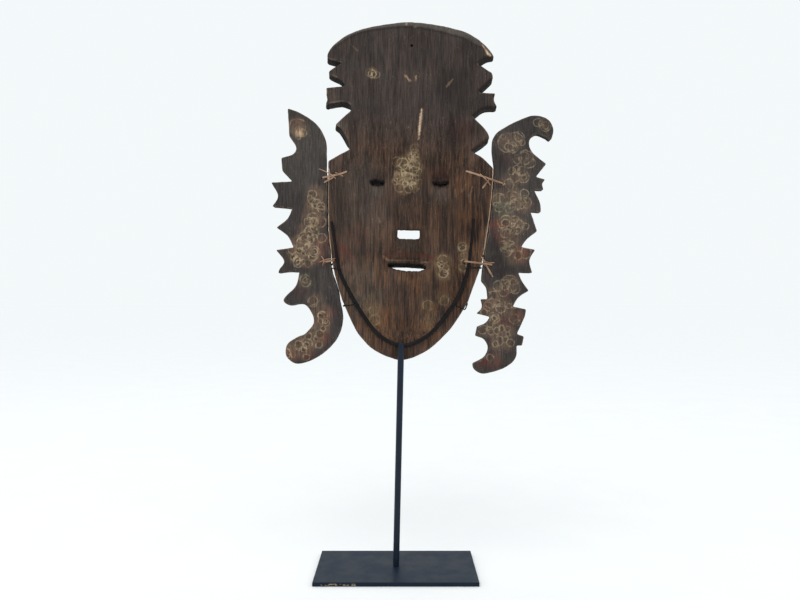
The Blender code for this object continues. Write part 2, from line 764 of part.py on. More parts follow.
def cradle_x(side, height):
    """The x of the cradle's bar at a height, on one side."""
    points = sorted((p for p in CRADLE_ROUTE if p[0] * side > 0), key=lambda p: p[1])
    return float(np.interp(height, [p[1] for p in points], [p[0] for p in points]))


def make_hook(name, side, on_bar, at_edge, over_front, stand_off, finish, parent):
    """A wire from the cradle's bar out past the mask's edge, round it and a little way over the front."""
    radius = HOOK_DIAMETER / 2
    clear = (radius + 2 * TOUCH_GAP) / UNIT
    bar = cradle_x(side, on_bar)
    edge = chin_x(side, at_edge)
    far_edge = chin_x(side, over_front)
    near = CRADLE_Y - CRADLE_DIAMETER / 2 - TOUCH_GAP - radius
    tip = far_edge - side * HOOK_REACH / UNIT
    front = float(front_depth(np.array([(tip, over_front)]))[0]) + radius + 2 * TOUCH_GAP
    out = side * (clear + stand_off)
    drawn = [
        (bar - side * 3, near, on_bar),
        (bar + side * 2.5, near, on_bar),
        (edge + side * 0.8 * clear, MASK_BACK - 1.4 * radius - TOUCH_GAP, at_edge),
        (edge + out, MASK_BACK + 0.3 * BOARD_THICKNESS, 0.8 * at_edge + 0.2 * over_front),
        (far_edge + out, MASK_BACK + 0.8 * BOARD_THICKNESS, 0.2 * at_edge + 0.8 * over_front),
        (far_edge + 0.4 * out, front, over_front),
        (tip, front + radius, over_front),
    ]
    placed = [(x * UNIT, y, z * UNIT + CHIN_HEIGHT) for x, y, z in drawn]
    route = [*smooth_run(placed, 0.0035), np.array(placed[-1])]
    return wire(name, route, HOOK_DIAMETER, 1, finish, parent)


def chin_x(side, height):
    """The x of the mask's edge at a height on its lower half, chin and sides together."""
    points = {p for p in CHIN[0] if p[0] * side > 0} | set(RIGHT_SIDE if side > 0 else LEFT_SIDE)
    points = sorted(points, key=lambda p: p[1])
    return float(np.interp(height, [p[1] for p in points], [p[0] for p in points]))


def make_plate(finish, parent):
    half = (PLATE_WIDTH / 2, PLATE_DEPTH / 2)
    corners = [(sx * half[0], sy * half[1]) for sx, sy in ((-1, -1), (1, -1), (1, 1), (-1, 1))]
    points = [(x, y, z) for z in (0, PLATE_THICKNESS) for x, y in corners]
    faces = [(3, 2, 1, 0), (4, 5, 6, 7)] + [(i, (i + 1) % 4, (i + 1) % 4 + 4, i + 4) for i in range(4)]
    mesh = bpy.data.meshes.new("base_plate")
    mesh.from_pydata(points, [], faces)
    made = place("base_plate", mesh, finish, parent)
    bevel = made.modifiers.new("edge", "BEVEL")
    bevel.width = METAL_BREAK
    bevel.segments = 2
    return made


def make_rod(finish, parent):
    sides = 24
    radius = ROD_DIAMETER / 2
    profile = (
        (radius - METAL_BREAK, TOUCH_GAP),
        (radius, TOUCH_GAP + METAL_BREAK),
        (radius, ROD_LENGTH - METAL_BREAK),
        (radius - METAL_BREAK, ROD_LENGTH),
    )
    points, faces = [], []
    for r, z in profile:
        for i in range(sides):
            turn = 2 * math.pi * i / sides
            points.append((r * math.cos(turn), r * math.sin(turn), z))
    for level in range(len(profile) - 1):
        for i in range(sides):
            a, b = level * sides + i, level * sides + (i + 1) % sides
            faces.append((a, b, b + sides, a + sides))
    last = (len(profile) - 1) * sides
    faces.append(tuple(reversed(range(sides))))
    faces.append(tuple(range(last, last + sides)))
    mesh = bpy.data.meshes.new("rod")
    mesh.from_pydata(points, [], faces)
    mesh.shade_smooth()
    mesh.set_sharp_from_angle(angle=math.radians(35))
    return place("rod", mesh, finish, parent)


def main():
    clear_scene()
    wood = material("mask_wood", (0.10, 0.068, 0.045), 0.75, 0.0)
    ear_wood = material("ear_wood", (0.11, 0.092, 0.065), 0.8, 0.0)
    rattan = material("rattan", (0.55, 0.33, 0.19), 0.6, 0.0)
    steel = material("black_steel", (0.03, 0.032, 0.036), 0.5, 0.3)
    stand = empty("stand")
    upright = empty("upright", stand)
    upright.location = (0, 0, PLATE_THICKNESS + ROD_DIAMETER / 2 * math.sin(LEAN))
    upright.rotation_euler = (0, LEAN, 0)
    make_plate(steel, stand)
    make_rod(steel, upright)
    make_cradle(steel, upright)
    for name, sizes in HOOKS.items():
        make_hook(name, *sizes, steel, upright)
    make_mask(wood, upright)
    make_ear("ear_left", -1, ear_wood, upright)
    make_ear("ear_right", 1, ear_wood, upright)
    for name, sizes in TIES.items():
        make_tie(name, *sizes, rattan, upright)


main()
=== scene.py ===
import math

import bpy
import numpy as np
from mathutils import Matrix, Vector
from mathutils.geometry import delaunay_2d_cdt
from mathutils.kdtree import KDTree


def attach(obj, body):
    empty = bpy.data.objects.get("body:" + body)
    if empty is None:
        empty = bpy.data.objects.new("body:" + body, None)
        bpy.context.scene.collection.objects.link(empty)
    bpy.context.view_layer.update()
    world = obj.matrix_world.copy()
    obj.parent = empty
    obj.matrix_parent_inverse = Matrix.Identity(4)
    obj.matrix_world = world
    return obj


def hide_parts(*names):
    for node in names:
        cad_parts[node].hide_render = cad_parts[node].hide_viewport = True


# A carved wooden mask with two ear panels tied on, seen from its hollow back, on a black steel stand.
# Drawn sizes are millimetres: x from the rod's axis, z from the tip of the chin, y from the rod's axis
# towards the carved front. The whole upright leans a little, so world places come from to_world().

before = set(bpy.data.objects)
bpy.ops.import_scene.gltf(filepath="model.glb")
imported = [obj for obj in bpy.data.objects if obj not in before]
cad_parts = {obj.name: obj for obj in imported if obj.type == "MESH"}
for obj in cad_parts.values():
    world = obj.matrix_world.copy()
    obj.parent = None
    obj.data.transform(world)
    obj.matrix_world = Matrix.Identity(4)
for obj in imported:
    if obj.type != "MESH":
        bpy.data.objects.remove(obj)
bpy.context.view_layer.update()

MM = 0.001
LEAN = math.radians(1.3)
PLATE_TOP = 5.0
ROD_RADIUS = 4.0
CHIN_HEIGHT = 260.2
UPRIGHT_BASE = PLATE_TOP + ROD_RADIUS * math.sin(LEAN)
MASK_BACK = 9.6
CRADLE_Y = 6.8
CRADLE_RADIUS = 2.5
BOARD = 18.0
FACE_BULGE = 14.0
HOLLOW = 12.0
NOSE_HEIGHT = 21.0
MASK_ROUNDING = 1.6
HOLE_ROUNDING = 0.6
EAR_BACK = MASK_BACK + 1.0
EAR_BOARD = 12.0
EAR_GAP = 2.8
EAR_ROUNDINGS = (1.3, 1.5)
EAR_GROOVE = 6.0
MIDLINE = 5.0
TIE_WIDTH = 2.4
TIE_THICKNESS = 1.1
TOUCH_GAP = 0.3

# Lengths of the mesh's steps.
EDGE_STEP = 1.2
BACK_STEP = 1.8
FRONT_STEP = 2.2
EAR_STEP = 1.7
RAGGED_STEP = 0.7
# Distances from each edge at which points are kept close together for its rounding.
EDGE_ROWS = (0.12, 0.4, 0.85, 1.5)
# Shares of the way from back to front at which the walls of the outer edges have points.
MASK_WALL_SHARES = (0.18, 0.42, 0.68, 0.88)
EAR_WALL_SHARES = (0.1, 0.38, 0.66, 0.9)

# The outlines. A stroke starts where the one before it ends: two points are straight, more are a curve.
CROWN_AND_LOBES = (
    ((-103, 386), (-103, 391), (-96, 404.5), (-79, 418), (-57, 427), (-30, 433), (-3, 437)),
    ((20, 436), (48, 432), (76, 425), (95, 414), (108, 401), (112, 394)),
    ((103, 392), (91, 384)),
    ((110, 374),),
    ((111, 367), (109, 363)),
    ((93, 347),),
    ((115, 348),),
    ((113, 341), (114, 336)),
    ((117, 331), (116, 328)),
    ((100, 326), (86, 315)),
    ((101, 302), (108, 290), (101, 281), (86, 270)),
    ((99, 263), (113.5, 249.5)),
)
RIGHT_SIDE = ((113.5, 249.5), (113.5, 232), (111.5, 201), (108, 168), (102, 130), (92, 98), (84.5, 76))
CHIN = (((67.5, 47.5), (51.5, 28.5), (30.5, 11), (1, 0), (-31, 10), (-50.5, 26.5), (-62.5, 44.5), (-77, 75)),)
LEFT_SIDE = ((-77, 75), (-85.5, 101), (-92, 130), (-96.5, 164), (-98, 204), (-99, 254))
LEFT_LOBES = (
    ((-89, 260), (-71, 270)),
    ((-75, 283), (-84, 297), (-91, 301)),
    ((-70, 321),),
    ((-73, 328), (-82, 331), (-104, 327)),
    ((-101, 336),),
    ((-104, 348),),
    ((-79, 351),),
    ((-84, 358), (-100, 366)),
    ((-100, 370), (-84, 381)),
    ((-103, 386),),
)
LEFT_EAR_FOLLOWS = (78, 228)
LEFT_EAR = (
    ((-76, 50), (-84, 24), (-106, 2), (-132, -8), (-147, 1), (-147, 16), (-135, 26), (-123, 32),
     (-113, 48), (-124, 68), (-144, 67), (-153, 73), (-148, 81), (-137, 93), (-133, 110)),
    ((-148, 110), (-160, 108)),
    ((-159, 113), (-153, 124), (-164, 138)),
    ((-141, 142),),
    ((-150, 157), (-164, 167)),
    ((-150, 179), (-144, 192)),
    ((-170, 194),),
    ((-163, 208), (-172, 225)),
    ((-145, 227),),
    ((-158, 240),),
    ((-160, 257),),
    ((-145, 262), (-141, 271), (-150, 285)),
    ((-153, 321),),
    ((-136, 315), (-115, 301), (-104, 283), (-102, 262), (-101.5, 242)),
)
RIGHT_EAR_FOLLOWS = (129, 236)
RIGHT_EAR = (
    ((102.6, 116), (102, 104)),
    ((109, 95), (111, 81)),
    ((102, 81),),
    ((104, 70), (97, 62)),
    ((115, 58),),
    ((109, 50), (98, 45)),
    ((96, 33),),
    ((107, 29), (113, 18), (108, 6), (93, -3)),
    ((96, -11), (109, -15), (134, -7), (148, 6), (149, 22)),
    ((156, 22),),
    ((158, 34),),
    ((149, 37),),
    ((158, 58), (160, 69)),
    ((143, 72),),
    ((150, 84), (163, 93)),
    ((154, 105), (149, 116)),
    ((167, 116),),
    ((163, 132), (170, 146)),
    ((152, 149),),
    ((159, 159), (172, 170)),
    ((163, 195),),
    ((176, 194),),
    ((175, 206), (167, 223)),
    ((179, 223),),
    ((177, 231),),
    ((181, 237),),
    ((169, 240),),
    ((182, 257),),
    ((164, 271), (159, 285), (168, 295), (181, 291), (187, 288), (190, 302), (182, 315), (164, 319),
     (149, 314), (131, 305), (115, 293), (112, 275), (115, 252)),
)
CRADLE_ROUTE = (
    (-92.5, 176), (-88, 150), (-84, 126), (-80, 110), (-71, 92), (-60, 73), (-49, 56), (-36, 39),
    (-22, 27), (-6, 20), (8, 19.5), (22, 25), (36, 34), (47, 46), (57, 60), (66, 73), (74, 88),
    (80, 105), (84, 122), (86, 140), (88, 161), (89.5, 184),
)
LEFT_EYE = (
    (-44, 228), (-40, 226.5), (-35, 227), (-29.5, 227.5), (-27, 230), (-28.5, 232.5), (-32, 231.5),
    (-36, 232.5), (-39, 233.5), (-44.5, 232),
)
RIGHT_EYE = (
    (37, 231.5), (39.5, 229.5), (45, 228), (51, 228), (55.5, 230), (56.5, 233.5), (51, 233),
    (46.5, 232), (41.5, 233.5),
)
MOUTH = (
    (-20, 124), (-18, 120.5), (-10, 117.5), (5, 115.5), (20, 115.5), (29, 118), (30.5, 122),
    (27, 124.5), (10, 125.5), (-5, 126), (-17.5, 125.5),
)
NOSE_SLOT = (-8, 21.5, 157.5, 169.5)
EYE_DROP = 5.5
MOUTH_PINCH = 0.5
HANGING_HOLE = (5, 405, 1.8)

# Chisel cuts in the hollow: middle x, z of the deepest line, half width, run above, run below and depth.
CUTS = (
    (6.5, 170, 17, 62, 34, 8.0),
    (5, 122.5, 29, 17, 13, 4.5),
    (-36, 230, 9, 12, 11, 3.5),
    (46.5, 230, 10, 15, 14, 4.5),
)

# Shallow scoops of the gouge: middle, half width and half height, and depth.
SCOOPS = (
    ((-36, 217), (12, 12), 1.6), ((47, 215), (13, 14), 2.0), ((7, 149), (14, 9), 1.4),
    ((6, 109), (24, 8), 1.2),
)
# The arched groove over the mouth: its middle line and half width.
ARCH = ((-27, 131), (-19, 136.5), (-4, 139), (16, 138.5), (32, 135), (44, 129))

# The carved front: half width and half height of each form about its middle.
EYES = ((-36, 225), (46.5, 225))
EYE_FORM = (27, 12)
NOSE_SPAN = (177, 252)
NOSE_HALF_WIDTHS = (21, 8)
LIPS_AT = (5, 120.5)
LIPS_FORM = (39, 17)
# Distances inward from the edge of the two lines cut round the border.
BORDER_CUTS = (8.5, 12.5)

# The ties: side, hole in the mask, hole in the ear, then the route with the level of each stop.
ON, OVER, BAR, DEEP, FRONT = range(5)
TIES = {
    "tie_upper_left": (-1, (-90.5, 233.5), (-106.5, 232), (
        (-74.5, 240.5, OVER), (-84, 236.5, OVER), ("ear", OVER), ("ear", FRONT), ("mask", FRONT),
        ("mask", ON), (-103.5, 226, ON),
    )),
    "tie_lower_left": (-1, (-86.8, 126.5), (-101.8, 124), (
        (-108, 129, FRONT), ("ear", FRONT), ("ear", ON), ("mask", ON), ("mask", FRONT), (-99, 117, FRONT),
    )),
    "tie_upper_right": (1, (107, 234), (127, 229.5), (
        (78, 244.5, OVER), (92, 240.5, OVER), ("ear", OVER), ("ear", FRONT), ("mask", FRONT),
        ("mask", ON), (100, 223, ON),
    )),
    "tie_lower_right": (1, (78.2, 128.5), (114.5, 125), (
        (116, 109.5, DEEP), (107.5, 124, DEEP), (103.6, 126.5, DEEP), (103.6, 126.5, FRONT),
        ("mask", FRONT), ("mask", BAR), ("ear", BAR), ("ear", FRONT), (121, 122, FRONT),
    )),
}
# Short ends of each strip, split off and crossing it: x, z and level of each stop.
TOP = 5
FRAYS = {
    "tie_upper_left": (
        ((-110, 243, OVER), (-101.5, 239.3, TOP), (-93, 235, TOP), (-88.5, 231, ON)),
        ((-97, 228.5, ON), (-96, 236, TOP), (-97.5, 243.5, OVER)),
        ((-89, 238.5, TOP), (-79, 234.5, ON)),
    ),
    "tie_lower_left": (
        ((-107, 123.5, OVER), (-97, 127.5, TOP), (-86, 128.5, OVER)),
        ((-103, 119, ON), (-101, 126, TOP), (-104.5, 131, OVER)),
    ),
    "tie_upper_right": (
        ((96, 241, TOP), (104, 233.5, TOP), (110, 227, OVER)),
        ((125.6, 227.2, OVER), (128.8, 229.8, OVER)),
    ),
    "tie_lower_right": (
        ((100.2, 135, OVER), (103, 131.2, TOP), (106.2, 127.2, OVER)),
        ((100.8, 130.4, OVER), (106, 128.3, TOP), (111, 127.3, TOP), (117.2, 128, OVER)),
        ((101.5, 125.5, OVER), (104.5, 127.5, TOP), (109, 119.5, TOP), (112.6, 112.8, OVER)),
    ),
}
# The hooks: side, height on the bar, height at the mask's edge, height over the front and stand-off.
HOOKS = {
    "hook_upper_left": (-1, 115, 116, 117, 0.1),
    "hook_lower_left": (-1, 70, 68, 69, 0.3),
    "hook_upper_right": (1, 120, 121, 121, 0.6),
    "hook_lower_right": (1, 72, 67.2, 75.2, 0.9),
}
TIE_HOLE = 2.6
STRAND_PROFILE = (
    (-1, -0.55), (-0.6, -0.95), (0, -1), (0.6, -0.95), (1, -0.55), (1, 0.5), (0.55, 0.9), (0, 1),
    (-0.55, 0.9), (-1, 0.5),
)
HOOK_RADIUS = 0.8
HOOK_REACH = 7.0

# Where the stains, the painted light and the painted shade lie: x, z, radius and strength of each spot. RINGS
# have a middle and a radius.
# OCHRE is the yellow-brown ground of the ring marks. Streaks are a route, its half widths and a strength.
MASK_OCHRE = (
    (11, 274, 7, 0.5), (9, 262, 11, 0.8), (-1, 254, 11, 0.9), (12, 249, 12, 0.9), (2, 240, 14, 1.0),
    (-6, 232, 10, 1.0), (9, 231, 11, 0.9), (-1, 223, 9, 0.7), (53, 127, 12, 0.9), (54, 114, 11, 0.9),
    (77, 148, 7, 0.85), (79, 134, 7, 0.8), (79, 121, 7, 0.8), (-45, 368, 7, 0.95),
    (-38, 66, 10, 0.66), (-36, 50, 10, 0.7), (34, 72, 10, 0.6), (35, 56, 10, 0.55), (56, 79, 9, 0.64),
    (46, 86, 8, 0.4), (34, 42, 7, 0.4), (-34, 38, 6, 0.35), (-40, 80, 6, 0.4),
)
MASK_RED = (
    (-77, 138, 8, 0.8), (-70, 124, 12, 0.3), (-60, 160, 14, 0.25), (46, 240, 12, 0.35), (72, 300, 14, 0.3),
    (-88, 150, 10, 0.3),
)
MASK_PALE = ((-11.4, 241.8, 3.4, 0.8), (20, 142, 1.6, 0.4), (-4, 141, 1.6, 0.4), (8.7, 428.8, 1.5, 0.7))
MASK_PALE_STREAKS = (
    (((20, 324), (18.6, 312), (17.6, 300), (16.8, 286)), (1.2, 2.4, 2.2, 0.8), 1.0),
    (((96, 409), (101, 402.5), (106, 396.5), (110, 392.5)), (0.8, 1.7, 2.8, 1.6), 1.0),
    (((113.3, 251), (113.5, 232), (111.6, 201), (108, 168), (103.4, 138)), (0.9, 1.3, 1.1, 1.5, 1.0), 1.0),
    (((-98.6, 236), (-97.9, 204), (-96.6, 166), (-92.2, 132)), (0.7, 0.8, 0.8, 0.7), 0.9),
    (((-3, 367), (4, 359)), (0.8, 1.4), 0.7), (((11.4, 366.5), (11.5, 360.5)), (0.9, 0.9), 0.6),
    (((59, 363), (55, 358), (51.5, 353.5)), (0.9, 1.9, 1.1), 0.65), (((79, 229), (75, 220)), (1.0, 1.6), 0.3),
    (((66, 224), (67, 214)), (0.9, 1.4), 0.25), (((88, 226), (84, 214), (85, 206)), (0.8, 1.5, 0.8), 0.3),
    (((-33, 184), (-31, 178)), (1.0, 1.4), 0.2), (((-70, 402), (-64, 396)), (0.8, 1.0), 0.25),
    (((-2.6, 430), (-2.4, 437.5)), (0.8, 1.0), 0.8),
    (((-26.2, 134.5), (-20.8, 129.8), (-5, 128.9), (16, 128.7), (34, 127.5)),
     (1.1, 1.0, 0.8, 0.8, 0.5), 0.42),
)
MASK_WARMTH = (
    (88, 200, 34, 1), (82, 150, 28, 0.8), (60, 100, 40, 0.6), (5, 60, 60, 0.7), (-50, 90, 40, 0.7),
    (30, 30, 40, 0.6), (50, 70, 26, 0.9),
)
# Dark spots and streaks: dirt, and painted shade above the eye slots and down the right wall of the nose's
# channel.
MASK_DIRT_AND_SHADE = (
    (-36, 236, 10, 0.45), (46.5, 238, 13, 0.6), (64, 353, 28, 0.46), (78, 403, 14, 0.45), (73, 190, 34, 0.46),
    (8, 196, 16, 0.30), (5, 140, 26, 0.52), (2, 2, 17, 0.45), (40, 395, 26, 0.2), (60, 290, 22, 0.3),
    (-60, 400, 20, 0.15), (30, 250, 18, 0.3), (20, 320, 30, 0.15), (52, 82, 26, 0.34), (8, 30, 20, 0.30),
    (64, 120, 16, 0.3), (-80, 400, 12, 0.2), (5, 75, 24, 0.22), (80, 335, 24, 0.42), (84, 392, 13, 0.4),
    (84, 300, 14, 0.35), (6, 398, 22, 0.18), (52, 404, 14, 0.2),
)
MASK_DIRT_AND_SHADE_STREAKS = (
    (((25, 246), (27.5, 215), (27, 178)), (4, 5.5, 4), 0.55),
    (((57, 320), (60, 296), (64, 262)), (2, 5, 3), 0.5),
)
MASK_ASH = ((-62, 215, 46, 1), (-70, 160, 26, 0.6))
# Paler patches on the gouged ramps under the eye slots and the nose slot: painted light, where the ramps face
# up.
SCOOP_LIGHT = ((-36, 220, 9, 1), (46, 218, 11, 1), (7, 150, 12, 0.8), (-33, 180, 4, 0.8))
MASK_DUST = (
    (-60, 105, 24, 1), (-48, 76, 22, 1), (-84, 300, 7, 0.8), (-60, 232, 30, 0.35), (-55, 170, 34, 0.3),
)
MASK_RINGS = (
    (11.8, 275, 5.4), (11, 263.5, 6.4), (8, 267, 3.4), (-3.9, 254.6, 7.6), (12.2, 252.5, 6.8),
    (2.6, 247, 7.2), (-8.2, 237, 6.8), (7.9, 234.5, 6.6), (16.5, 245, 5.6), (-6, 233, 4.2), (8, 232, 3.8),
    (-6, 223.8, 5.6),
    (4.7, 222.6, 5.6), (-9.5, 247, 5), (0.5, 238.5, 5.4), (15.5, 259, 4.2), (14, 236, 4.6), (0, 229, 4.2),
    (52.6, 131.5, 6.6), (54, 120.7, 6.4), (53, 113, 5.4), (56, 114, 3.2), (50, 125, 4.6),
    (76.6, 149, 5.2), (77.4, 146, 4.2), (78.8, 134, 6.2), (78.4, 121.8, 5.4), (79.5, 128, 4.4),
    (-49.6, 369.2, 4.2), (-44.5, 367.4, 5.0), (-40, 366, 4.6), (-37, 62, 6.2), (-35, 51, 6.4), (55, 78, 6.0),
    (34, 71, 6.2),
)
LEFT_EAR_OCHRE = (
    (-139, 296, 12, 0.7), (-113, 211, 12, 0.7), (-114, 197, 13, 0.8), (-117, 181, 14, 0.8),
    (-121, 165, 14, 0.8), (-116, 150, 14, 0.9), (-132, 146, 13, 0.9), (-134, 133, 13, 1.0),
    (-123, 130, 13, 0.9), (-114, 134, 12, 0.7), (-125, 99, 10, 0.45), (-112, 74, 11, 0.5),
    (-104, 56, 14, 0.8), (-106, 41, 14, 0.8), (-112, 25, 14, 0.8), (-126, 13, 14, 0.9), (-139, 9, 12, 0.9),
)
LEFT_EAR_RINGS = (
    (-139.5, 297, 10.4), (-137, 291, 6.2), (-135.2, 122.1, 5.6), (-135.2, 122.1, 2.6), (-132, 135, 6.4),
    (-125, 99.5, 7.4), (-125, 99.5, 3.4), (-117.5, 181, 6.4), (-113, 199, 5.8), (-121, 163, 6.8),
)
RIGHT_EAR_OCHRE = (
    (178.7, 307, 8, 0.5), (131, 283, 13, 0.6), (141, 284, 11, 0.6), (157, 262, 10, 0.5), (144, 261, 7, 0.4),
    (146, 241, 13, 0.7), (134, 234, 11, 0.6), (126, 209, 15, 0.8), (141, 212, 15, 0.8), (153, 203, 12, 0.7),
    (129, 194, 13, 0.7), (133, 179, 16, 1.0), (146, 177, 12, 0.8), (135, 158, 14, 0.9), (145, 140, 15, 0.9),
    (139, 101, 13, 0.7), (125, 89, 12, 0.7), (112, 88, 9, 0.5), (107, 71, 11, 0.6), (122, 74, 13, 0.8),
    (134, 67, 13, 0.8), (146, 59, 11, 0.6), (118, 55, 12, 0.8), (107, 40, 10, 0.6), (121, 39, 12, 0.8),
    (136, 40, 12, 0.7), (122, 24, 11, 0.7), (134, 24, 11, 0.7), (124, 7, 10, 0.4),
)
RIGHT_EAR_RINGS = (
    (178.7, 307, 8.4), (179.4, 306, 4.6), (170, 310, 5.6), (130.3, 283, 12), (141.4, 287.6, 8.8),
    (137.8, 276, 6.6), (144.2, 261.8, 5.6), (155, 265, 9), (160.2, 257.6, 6.6), (153, 239.4, 7),
    (153, 239.4, 3.4), (137.8, 214, 8), (122.8, 207.8, 9), (131.5, 179.6, 9.6), (131.5, 179.6, 5),
    (146.4, 177.4, 7.6), (148.6, 205.5, 7.6), (137.8, 101.7, 11), (145.3, 95.3, 6), (142, 104, 4.4),
    (118.4, 56.3, 7.4),
)
LEFT_EAR_RED = (
    (-140, 300, 9, 0.25), (-107, 172, 8, 0.4), (-104, 146, 9, 0.6), (-104, 128, 8, 0.6), (-131, 86, 8, 0.3),
    (-100, 52, 10, 0.6), (-99, 26, 9, 0.6), (-141, 2, 8, 0.6), (-120, 6, 8, 0.6), (-90, 60, 7, 0.4),
)
RIGHT_EAR_RED = (
    (119, 174, 10, 1.0), (125, 160, 8, 0.6), (152, 140, 10, 0.8), (160, 142, 8, 0.7), (130, 262, 8, 0.2),
    (105, 74, 8, 0.6), (133, 52, 8, 0.6), (106, 2, 9, 0.8), (120, 1, 9, 0.6), (150, 62, 8, 0.6),
    (133, 88, 8, 0.4),
)
EAR_PALE = ((-137.5, 289, 4.5, 0.9),)
EAR_DIRT = (
    (118, 150, 13, 0.5), (122, 132, 12, 0.55), (127, 118, 11, 0.5), (120, 257, 9, 0.3), (-96, 250, 14, 0.25),
)
EAR_DUST = ((-118, 262, 44, 1), (-112, 100, 20, 0.6), (135, 200, 80, 1))
RIGHT_EAR_GREEN = ((127, 199, 11, 1.0), (133, 190, 7, 0.5), (150, 222, 8, 0.3))
LEFT_EAR_GREEN = ((-124, 100, 9, 0.6), (-112, 162, 8, 0.4), (-105, 40, 6, 0.3))

# What lies on the wood: its cracks, dust, traces of paint, ring stains, flecks, rubbed places, paler edges
# and grime. The dust colour also paints light, and the grime colour also paints shade.
CRACK = (0.014, 0.009, 0.007)
# Dust, and the colour of painted light on faces turned up.
DUST_AND_LIGHT = (0.110, 0.096, 0.078)
RED_TRACE = (0.140, 0.038, 0.026)
GREEN_TRACE = (0.048, 0.088, 0.062)
RING_CORE = (0.046, 0.031, 0.023)
RING_LINE = (0.42, 0.322, 0.198)
FLECK = (0.28, 0.20, 0.14)
RUBBED = (0.40, 0.262, 0.160)
BARE_WOOD = (0.62, 0.47, 0.34)
# A paler colour laid along every edge.
PALE_EDGE = (0.20, 0.145, 0.10)
# The darkest colour: dirt, and painted shade in the openings, creases, undersides and sunken places.
GRIME_AND_SHADE = (0.012, 0.009, 0.008)


def clear_of_zero(values):
    return np.maximum(values, 1e-9)


def to_world(points):
    """World metres of points (x, y, z) drawn in millimetres on the leaning upright."""
    points = np.asarray(points, float)
    x, y, z = points[..., 0], points[..., 1], points[..., 2] + CHIN_HEIGHT
    return np.stack([
        math.cos(LEAN) * x + math.sin(LEAN) * z,
        y,
        math.cos(LEAN) * z - math.sin(LEAN) * x + UPRIGHT_BASE,
    ], axis=-1) * MM


def ramp(value, start, end):
    """0 at start, 1 at end, and a straight line between them."""
    return np.clip((value - start) / (end - start), 0.0, 1.0)


def soft_ramp(value, start, end):
    """0 at start, 1 at end, and a smooth rise between them."""
    share = ramp(value, start, end)
    return share * share * (3 - 2 * share)


def most(*values):
    """The greatest of several values at each point."""
    return np.maximum.reduce(values)


def crown_curve(share):
    """A rounded rise: steep at share 0, level from share 1 on."""
    return 1 - (1 - np.clip(share, 0.0, 1.0)) ** 2


def quarter_round(inward, radius):
    """How far a rounded edge falls away at a distance inward from it."""
    left = np.clip(1 - inward / radius, 0.0, 1.0)
    return radius * (1 - np.sqrt(1 - left**2))


def value_noise(x, z, seed):
    """Smooth random values from 0 to 1 that change once per unit."""
    ix, iz = np.floor(x).astype(int), np.floor(z).astype(int)
    fx, fz = x - ix, z - iz
    fx, fz = fx * fx * (3 - 2 * fx), fz * fz * (3 - 2 * fz)
    table = np.random.default_rng(seed).random((256, 256))
    low, high = (
        table[ix % 256, row % 256] * (1 - fx) + table[(ix + 1) % 256, row % 256] * fx for row in (iz, iz + 1)
    )
    return low * (1 - fz) + high * fz


def smooth_run(points, step):
    """Points along a curve through the given ones, without the last, about a step apart."""
    points = np.array(points, float)
    padded = np.vstack([2 * points[0] - points[1], points, 2 * points[-1] - points[-2]])
    run = []
    for i in range(1, len(padded) - 2):
        p0, p1, p2, p3 = padded[i - 1 : i + 3]
        pieces = max(1, round(np.linalg.norm(p2 - p1) / step))
        for share in np.arange(pieces) / pieces:
            a = 2 * share**3 - 3 * share**2 + 1
            b = share**3 - 2 * share**2 + share
            c = -2 * share**3 + 3 * share**2
            d = share**3 - share**2
            run.append(a * p1 + b * (p2 - p0) / 2 + c * p2 + d * (p3 - p1) / 2)
    return run


def closed_outline(start, strokes, step):
    """The points of a closed outline drawn from a start through strokes."""
    loop = []
    for stroke in strokes:
        loop += smooth_run((start, *stroke), step)
        start = stroke[-1]
    return np.array(loop)


def counterclockwise(loop):
    """The loop, turned round if it runs clockwise."""
    ahead = np.roll(loop, -1, axis=0)
    area = (loop[:, 0] * ahead[:, 1] - ahead[:, 0] * loop[:, 1]).sum()
    return loop if area > 0 else loop[::-1]


def even(loop, step):
    """The same loop with its points evenly spaced."""
    closed = np.vstack([loop, loop[:1]])
    run = np.concatenate([[0], np.cumsum(np.linalg.norm(np.diff(closed, axis=0), axis=1))])
    places = np.arange(round(run[-1] / step)) * run[-1] / round(run[-1] / step)
    return np.column_stack([np.interp(places, run, closed[:, 0]), np.interp(places, run, closed[:, 1])])


def worn(loop, passes):
    """The loop, or the values round it, with the corners rubbed round."""
    for _ in range(passes):
        loop = (np.roll(loop, 1, axis=0) + 2 * loop + np.roll(loop, -1, axis=0)) / 4
    return loop


def outward(loop):
    """The direction away from the board at each point of a counterclockwise loop."""
    along = np.roll(loop, -1, axis=0) - np.roll(loop, 1, axis=0)
    along /= clear_of_zero(np.linalg.norm(along, axis=1))[:, None]
    return np.column_stack([along[:, 1], -along[:, 0]])


def edge_noise(count, length, seed, row=0.0, step=EDGE_STEP):
    """Smooth random values from 0 to 1 at the points of an edge, which change once in the given length."""
    run = np.arange(count) * step
    return value_noise(run / length, run * 0 + row, seed)


def knife_cut(loop, size, seed):
    """The loop with the small unevenness of a knife."""
    count = len(loop)
    shift = size * (edge_noise(count, 7, seed) + 0.5 * edge_noise(count, 2.4, seed + 1) - 0.75)
    return loop + outward(loop) * shift[:, None]


def inside(points, loop):
    """Which points are inside the loop, by counting the edges to the right of each."""
    ax, az = loop[:, 0], loop[:, 1]
    bx, bz = np.roll(ax, -1), np.roll(az, -1)
    slope = (bx - ax) / np.where(bz == az, 1.0, bz - az)
    found = []
    for first in range(0, len(points), 4000):
        x, z = points[first : first + 4000, 0, None], points[first : first + 4000, 1, None]
        crosses = (az > z) != (bz > z)
        found.append((crosses & (x < ax + (z - az) * slope)).sum(axis=1) % 2 == 1)
    return np.concatenate(found) if found else np.zeros(0, bool)


def on_board(points, loops):
    """Which points are inside the first loop and outside the others."""
    found = inside(points, loops[0])
    for hole in loops[1:]:
        found &= ~inside(points, hole)
    return found


